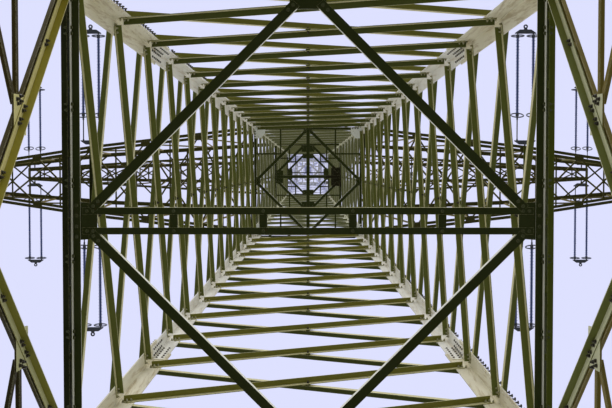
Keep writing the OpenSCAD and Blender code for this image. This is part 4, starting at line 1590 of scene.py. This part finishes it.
@dataclass
class InsulatorSets:
    """Tension sets of one attachment: to the front and to the back, twin shed rods between two yokes."""

    name: str
    x: float
    z: float
    link_y: float
    rod_y: float
    rod_l: float = 1.05
    cap: float = 0.07
    cap_part: float = 0.6
    cap_wide: float = 1.5
    cap_inset: float = 0.6
    cap_chamfer: float = 0.006
    spread: float = 0.22
    shed_r: float = 0.0285
    narrow: float = 0.8
    core_r: float = 0.0155
    core_inset: float = 0.2
    core_rise: float = 0.001
    shed_pitch: float = 0.021
    shed_h: float = 0.013
    lip: float = 0.22
    lip_h: float = 0.0025
    ring_r: float = 0.088
    ring_bar_r: float = 0.009
    ring_tilt: float = math.radians(20)
    outer_tilt: float = math.radians(3)
    ring_out: float = 0.03
    arm_wide: float = 1.2
    arm_bevel: float = 0.25
    shackle: float = 0.05
    link_r: float = 0.0085
    link_bite: float = 0.012
    yoke_bite: float = 0.02
    cap_bite: float = 0.01
    eye_bite: float = 0.015
    link_bevel: float = 0.001
    knot: Sequence[float] = (0.022, 0.036, 0.026)
    knot_in: float = 0.02
    knot_bevel: float = 0.004
    yoke_t: float = 0.014
    yoke_d: float = 0.06
    yoke_edge: float = 0.04
    yoke_slant: float = 0.07
    yoke_fall: float = 0.8
    bevel: float = 0.0015
    pin_r: float = 0.012
    eye_out: float = 0.055
    eye_wide: float = 2.6
    neck_out: float = 0.0115
    neck: Flat = (0.05, 0.035)
    neck_thin: float = 0.98

    def build(self, shop: Workshop) -> list[bpy.types.Object]:
        """Models one set, copies it to the other side of the arm, and replaces the plain CAD node.

        Args:
            shop: The workshop.

        Returns:
            The shed rods and the metal fittings.
        """
        rods = [self.model_rod(sign * self.spread / 2) for sign in (-1, 1)]
        inner, outer = self.yoke_places()
        metal = [self.model_yoke(inner, -1), self.model_yoke(outer, 1), self.model_eye(),
                 self.model_link(0, self.link_y, inner - self.yoke_d / 2 + self.link_bite)]
        for x in (-self.spread / 2, self.spread / 2):
            metal += self.model_fittings(x)
            metal.append(self.model_link(x, inner + self.yoke_d / 2 - self.yoke_bite,
                                         self.rod_y - self.cap + self.cap_bite))
        sheds = shop.hand_in(self.both_ways(join(f"{self.name}_rods", rods)), GLAZE)
        fittings = shop.hand_in(self.both_ways(join(f"{self.name}_fittings", metal)), FITTING)
        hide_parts(self.name)
        return [sheds, fittings]

    def both_ways(self, piece: bpy.types.Object) -> bpy.types.Object:
        """Adds a copy turned to the arm's other side, puts both in place and returns them as one piece."""
        twin = move(copy_of(piece), (0, 0, 0), (0, 0, math.pi))
        return move(join(piece.name, [piece, twin]), (self.x, 0, self.z))

    def yoke_places(self) -> tuple[float, float]:
        """Distances of the two yoke plates' middles from the arm's middle plane."""
        inner = self.link_y + self.shackle + self.yoke_d / 2
        return inner, self.rod_y + self.rod_l + self.cap - self.cap_bite + self.yoke_d / 2

    def model_rod(self, x: float) -> bpy.types.Object:
        """Models one rod: a core with pairs of a wide and a narrow shed.

        Args:
            x: Distance of the rod from the set's middle.

        Returns:
            The rod, along Y.
        """
        parts = []
        for radius, middle in ((self.shed_r, self.shed_pitch / 2),
                               (self.shed_r * self.narrow, self.shed_pitch + self.shed_pitch / 2)):
            parts.append(start_shape(bpy.ops.mesh.primitive_cone_add, vertices=16, radius1=radius,
                                     radius2=self.core_r, depth=self.shed_h, location=(0, 0, middle)))
            inset_end(parts[-1], radius * self.lip, -self.lip_h, way=-1)
        sheds = join("sheds", parts)
        pair = 2 * self.shed_pitch
        apply_modifier(sheds, "ARRAY", {
            "use_relative_offset": False, "use_constant_offset": True,
            "constant_offset_displace": (0, 0, pair), "count": int(self.rod_l / pair)})
        core = start_cylinder(12, self.core_r, self.rod_l, self.rod_l / 2)
        inset_end(core, self.core_r * self.core_inset, self.core_rise)
        rod = join("rod", [sheds, core])
        bpy.ops.object.shade_smooth_by_angle(angle=math.radians(40))
        return move(rod, (x, self.rod_y, 0), (-math.pi / 2, 0, 0))

    def model_fittings(self, x: float) -> list[bpy.types.Object]:
        """Models the sockets and arcing rings at both ends of a rod.

        Args:
            x: Distance of the rod from the set's middle.

        Returns:
            The pieces.
        """
        parts = []
        height = self.cap * self.cap_part
        for end, way in ((self.rod_y, -1), (self.rod_y + self.rod_l, 1)):
            socket = start_cylinder(12, self.core_r * self.cap_wide, height, height / 2)
            inset_end(socket, self.core_r * self.cap_inset, self.cap_chamfer,
                      push=self.cap - height - self.cap_chamfer)
            parts.append(move(socket, (x, end, 0), (-math.pi / 2 * way, 0, 0)))
            parts += self.model_ring(x, end + way * self.ring_out, way)
        return parts

    def model_ring(self, x: float, y: float, way: int) -> list[bpy.types.Object]:
        """Models an arcing ring round a rod's end, with the flat arm that carries it.

        Args:
            x: Distance of the rod from the set's middle.
            y: Distance of the ring from the arm's middle plane.
            way: -1 at the rod's inner end, 1 at its outer end.

        Returns:
            The ring and its arm.
        """
        turn = (math.pi / 2 + (self.outer_tilt if way > 0 else -self.ring_tilt), 0, 0)
        ring = start_shape(bpy.ops.mesh.primitive_torus_add, location=(x, y, 0), rotation=turn,
                           major_segments=28, minor_segments=8, major_radius=self.ring_r,
                           minor_radius=self.ring_bar_r)
        bpy.ops.object.shade_smooth_by_angle(angle=math.radians(60))
        size = (self.core_r * self.arm_wide, self.ring_r, self.ring_bar_r)
        arm = start_block((0, self.ring_r / 2, 0), size)
        return [ring, move(bevel(arm, self.ring_bar_r * self.arm_bevel), (x, y, 0), turn)]

    def model_yoke(self, y: float, way: int) -> bpy.types.Object:
        """Models a yoke plate that spreads the twin rods: two slanted corners and a bevelled edge.

        Args:
            y: Distance of its middle from the arm's middle plane.
            way: 1 to cut the corners on the side of the outer end, -1 on that of the inner end.

        Returns:
            The plate.
        """
        length, width = self.spread + 2 * self.yoke_edge, self.yoke_d
        plate = start_block((0, y, 0), (length, width, self.yoke_t))
        for sign in (-1, 1):
            trim(plate, (sign * (length / 2 - self.yoke_slant), y + way * width / 2, 0),
                 (sign * width * self.yoke_fall, way * self.yoke_slant, 0))
        apply_modifier(plate, "BEVEL", {"width": self.bevel, "segments": 1, "limit_method": "ANGLE"})
        return plate

    def model_link(self, x: float, low: float, high: float) -> bpy.types.Object:
        """Models a link along Y: a round bar with a block at both ends.

        Args:
            x: Its distance from the set's middle.
            low: Where it starts.
            high: Where it ends.

        Returns:
            The link.
        """
        length = high - low
        bar = start_cylinder(12, self.link_r, length, 0.0)
        move(bar, (x, low + length / 2, 0), (-math.pi / 2, 0, 0))
        bevel(bar, self.link_bevel, wanted=lambda face: abs(face.normal.y) < 1 - FACING)
        knots = [bevel(start_block((x, y, 0), self.knot), self.knot_bevel, 2)
                 for y in (low + self.knot_in, high - self.knot_in)]
        return join("link", [bar, *knots])

    def model_eye(self) -> bpy.types.Object:
        """Models the eye plate with its pin hole outside the outer yoke.

        Returns:
            The eye plate.
        """
        foot = self.yoke_places()[1] + self.yoke_d / 2 - self.eye_bite
        middle = foot + self.eye_out
        eye = start_shape(bpy.ops.mesh.primitive_circle_add, vertices=24, radius=self.pin_r,
                          location=(0, middle, -self.yoke_t / 2))
        bpy.ops.object.mode_set(mode="EDIT")
        bpy.ops.mesh.select_all(action="SELECT")
        bpy.ops.mesh.extrude_edges_move()
        bpy.ops.transform.resize(value=(self.eye_wide, self.eye_wide, 1), center_override=(0, middle, 0))
        bpy.ops.mesh.select_all(action="SELECT")
        bpy.ops.mesh.extrude_region_move(TRANSFORM_OT_translate={"value": (0, 0, self.yoke_t)})
        bpy.ops.mesh.select_all(action="SELECT")
        bpy.ops.mesh.normals_make_consistent(inside=False)
        close_edit()
        neck = start_block((0, foot + self.neck_out, 0), (*self.neck, self.yoke_t * self.neck_thin))
        return join("eye", [eye, bevel(neck, self.bevel)])


@dataclass
class Studio:
    """Floor, soft light, pale backdrop and the camera inside the base, which looks straight up."""

    camera_place: tuple[float, float, float] = (0.0, -0.39, 0.8)
    aim: tuple[float, float, float] = (-0.00167, 0.04167, 1.0)
    lens: float = 71.25
    clip: Flat = (0.05, 500.0)
    backdrop: Colour = (222, 225, 255)
    floor_size: float = 200.0
    floor_seen: Colour = (0.80, 0.80, 0.80)
    floor_thrown: Colour = (0.18, 0.18, 0.16)
    floor_rough: float = 0.9
    glow: float = 0.76
    lamp: float = 1.36
    lamp_height: float = math.radians(38)
    lamp_width: float = 0.6

    def build(self) -> None:
        """Builds the floor, the light and the camera."""
        self.lay_floor()
        self.light()
        self.set_camera()
        bpy.context.scene.view_settings.view_transform = "Standard"

    def lay_floor(self) -> bpy.types.Object:
        """Makes a plain floor that looks pale and throws little light up.

        Returns:
            The floor.
        """
        floor = start_shape(bpy.ops.mesh.primitive_plane_add, size=self.floor_size, location=(0, 0, 0))
        floor.name = "floor"
        material, board = new_material("pale_floor")
        colour = board.blend(self.seen_rays(board), (*self.floor_thrown, 1), (*self.floor_seen, 1))
        shader = board.add("ShaderNodeBsdfPrincipled", None, Base_Color=colour, Roughness=self.floor_rough)
        board.add("ShaderNodeOutputMaterial", None, Surface=shader.outputs[0])
        floor.data.materials.append(material)
        return floor

    def seen_rays(self, board: NodeBoard) -> bpy.types.NodeSocket:
        """Finds the rays that see a background: from the camera, by gloss and through glass.

        Args:
            board: Where the nodes go.

        Returns:
            The mask's socket.
        """
        rays = board.add("ShaderNodeLightPath")
        mask = board.maths("ADD", rays.outputs["Is Camera Ray"], rays.outputs["Is Glossy Ray"])
        return board.maths("ADD", mask, rays.outputs["Is Transmission Ray"])

    def light(self) -> None:
        """Lights the tower by an even glow and a soft lamp from the front, before a pale backdrop."""
        world = bpy.data.worlds.new("backdrop")
        world.use_nodes = True
        bpy.context.scene.world = world
        board = NodeBoard(world.node_tree)
        glow = board.add("ShaderNodeBackground", None, Color=(1, 1, 1, 1), Strength=self.glow)
        view = board.add("ShaderNodeBackground", None, Color=linear(self.backdrop), Strength=1.0)
        mixed = board.add("ShaderNodeMixShader", None, Fac=self.seen_rays(board))
        board.put([mixed.inputs[1], mixed.inputs[2]], [glow.outputs[0], view.outputs[0]])
        board.add("ShaderNodeOutputWorld", None, Surface=mixed.outputs[0])
        bpy.ops.object.select_all(action="DESELECT")
        bpy.ops.object.light_add(type="SUN", rotation=(math.pi / 2 - self.lamp_height, 0, 0))
        lamp = bpy.context.object
        lamp.name = "soft_lamp"
        lamp.data.energy = self.lamp
        lamp.data.angle = self.lamp_width

    def set_camera(self) -> None:
        """Sets the camera, with the top of the picture towards the front."""
        camera = bpy.data.objects.new("camera", bpy.data.cameras.new("camera"))
        bpy.context.scene.collection.objects.link(camera)
        ahead = Vector(self.aim).normalized()
        right = ahead.cross(Vector((0, -1, 0))).normalized()
        turn = Matrix((right, right.cross(ahead), -ahead)).transposed().to_4x4()
        camera.matrix_world = Matrix.Translation(self.camera_place) @ turn
        camera.data.lens = self.lens
        camera.data.clip_start, camera.data.clip_end = self.clip
        bpy.context.scene.camera = camera


def level_frames() -> list[PlanFrame]:
    """Sizes up the level frames.

    Returns:
        The bolts of the five frames, from the waist up.
    """
    half, t, step = TOWER.half, TOWER.leg_t, 2 * TOWER.clear
    ring, pitch, brace_in, gap, spacing = 0.048, 0.438, 0.0829, 0.001, 0.4
    frames = [PlanFrame("waist_bolts", TOWER.waist, ring, brace_w=0.055, plate_l=0.226, size=1.3,
                        stitches=[(i - 2.5) * pitch for i in range(6)], brace_near=0.089,
                        brace_free=half(TOWER.waist) - t - step - brace_in,
                        seat=TOWER.waist + ring / 2 - (t + step) * TOWER.slope, plate_bolts=(0.14, 0.4))]
    for name, z, ring, brace, plate, size in (
            ("low_frame_bolts", TOWER.low_arm, TOWER.low_ring, 0.040, 0.13, 0.9),
            ("high_frame_bolts", TOWER.low_top, TOWER.low_ring, 0.040, 0.23, 0.9),
            ("up_frame_bolts", TOWER.up_arm, TOWER.up_ring, 0.036, 0.218, 0.8),
            ("top_frame_bolts", TOWER.up_top, TOWER.up_ring, 0.036, 0.0763, 0.8)):
        outer = half(z) - TOWER.leg(z) + step
        frames.append(PlanFrame(name, z, ring, brace, plate, size,
                                stitches=[i * outer * spacing for i in range(-2, 3)],
                                brace_near=(plate - brace) / 2, brace_free=half(z) - t - ring - TOWER.clear,
                                seat=z + ring / 2 - (t + ring) * TOWER.slope - gap, brace_bolts=1))
    return frames


def panel_stacks() -> list[CrossedPanels]:
    """Sizes up the crossed panels above the waist.

    Returns:
        The bolts of the body's panels and of the three runs of the neck.
    """
    gap = TOWER.joint_gap
    return [CrossedPanels("body", TOWER.waist + gap, TOWER.low_arm - gap, TOWER.body_panels, lip=0.045,
                          inner_bolts=2, outer_bolts=2, size=1.2),
            CrossedPanels("low_neck", TOWER.low_arm + gap, TOWER.low_top - gap, TOWER.neck_panels, lip=0.034,
                          inner_bolts=1, outer_bolts=2),
            CrossedPanels("mid_neck", TOWER.low_top + gap, TOWER.up_arm - gap, TOWER.neck_panels, lip=0.034,
                          inner_bolts=1, outer_bolts=1),
            CrossedPanels("up_neck", TOWER.up_arm + gap, TOWER.up_top - gap, TOWER.top_panels, lip=0.012,
                          inner_bolts=1, outer_bolts=1, size=0.8, bar_t=0.004)]


def arm_joints() -> list[ArmJoints]:
    """Sizes up the joints of the arms' bottom chords.

    Returns:
        Those of the lower and of the upper arms.
    """
    kink, low_tip, up_tip = (TOWER.low_kink, 0.5), (5.6, 0.105), (5.29, 0.115)
    low_half, up_half = TOWER.half(TOWER.low_arm), TOWER.half(TOWER.up_arm)
    off_leg, first_bay = 0.006, 0.77
    low_root, up_root = (low_half + off_leg, low_half + 0.001), (up_half + off_leg, up_half - 0.002)
    outer_bay = (low_tip[0] - kink[0] - first_bay) / 3
    low = [low_root[0] + (kink[0] - low_root[0]) * i / 3 for i in (1, 2, 3)]
    low += [kink[0] + first_bay + outer_bay * i for i in range(3)] + [TOWER.low_carrier]
    up = [up_root[0] + (up_tip[0] - up_root[0]) * i / 8 for i in range(1, 8)] + [TOWER.up_carrier]
    return [ArmJoints("low_arm_joints", TOWER.low_arm, (low_root, kink, low_tip), low,
                      carriers=(TOWER.low_kink, 5.37, 5.59), strut_w=0.05, inset=0.012, depth=0.092),
            ArmJoints("up_arm_joints", TOWER.up_arm, (up_root, up_tip), up, carriers=(5.07, 5.28),
                      strut_w=0.03, inset=0.002, depth=0.062)]


def insulator_sets() -> list[InsulatorSets]:
    """Sizes up the insulator sets.

    Returns:
        The sets of both arms on either side.
    """
    rise = 0.019
    places = (("insulators_low_inner", TOWER.low_kink, TOWER.low_arm, 0.4663, 0.957),
              ("insulators_low_outer", TOWER.low_carrier, TOWER.low_arm, 0.0907, 0.515),
              ("insulators_up", TOWER.up_carrier, TOWER.up_arm, 0.1227, 0.515))
    return [InsulatorSets(f"{name}_{side}", sign * x, z + rise, link_y, rod_y)
            for side, sign in (("right", 1), ("left", -1)) for name, x, z, link_y, rod_y in places]


def main() -> None:
    """Builds the object's pieces and the studio, and reports each piece."""
    logging.basicConfig(level=logging.INFO, format="%(message)s")
    shop = Workshop()
    LOG.info("members dressed: %d", Members().dress(shop))
    for part in (BasePanels(), *level_frames(), WaistTies(), *panel_stacks(), LegSplices(),
                 CornerPlates("low_corner_plates", TOWER.low_arm, TOWER.low_ring, reach=0.15, size=1.1),
                 CornerPlates("up_corner_plates", TOWER.up_arm, TOWER.up_ring, reach=0.075, size=0.8),
                 StepBolts(), *arm_joints(), *insulator_sets()):
        for piece in part.build(shop):
            LOG.info("%s: %d faces", piece.name, len(piece.data.polygons))
    Studio().build()


if __name__ == "__main__":
    main()
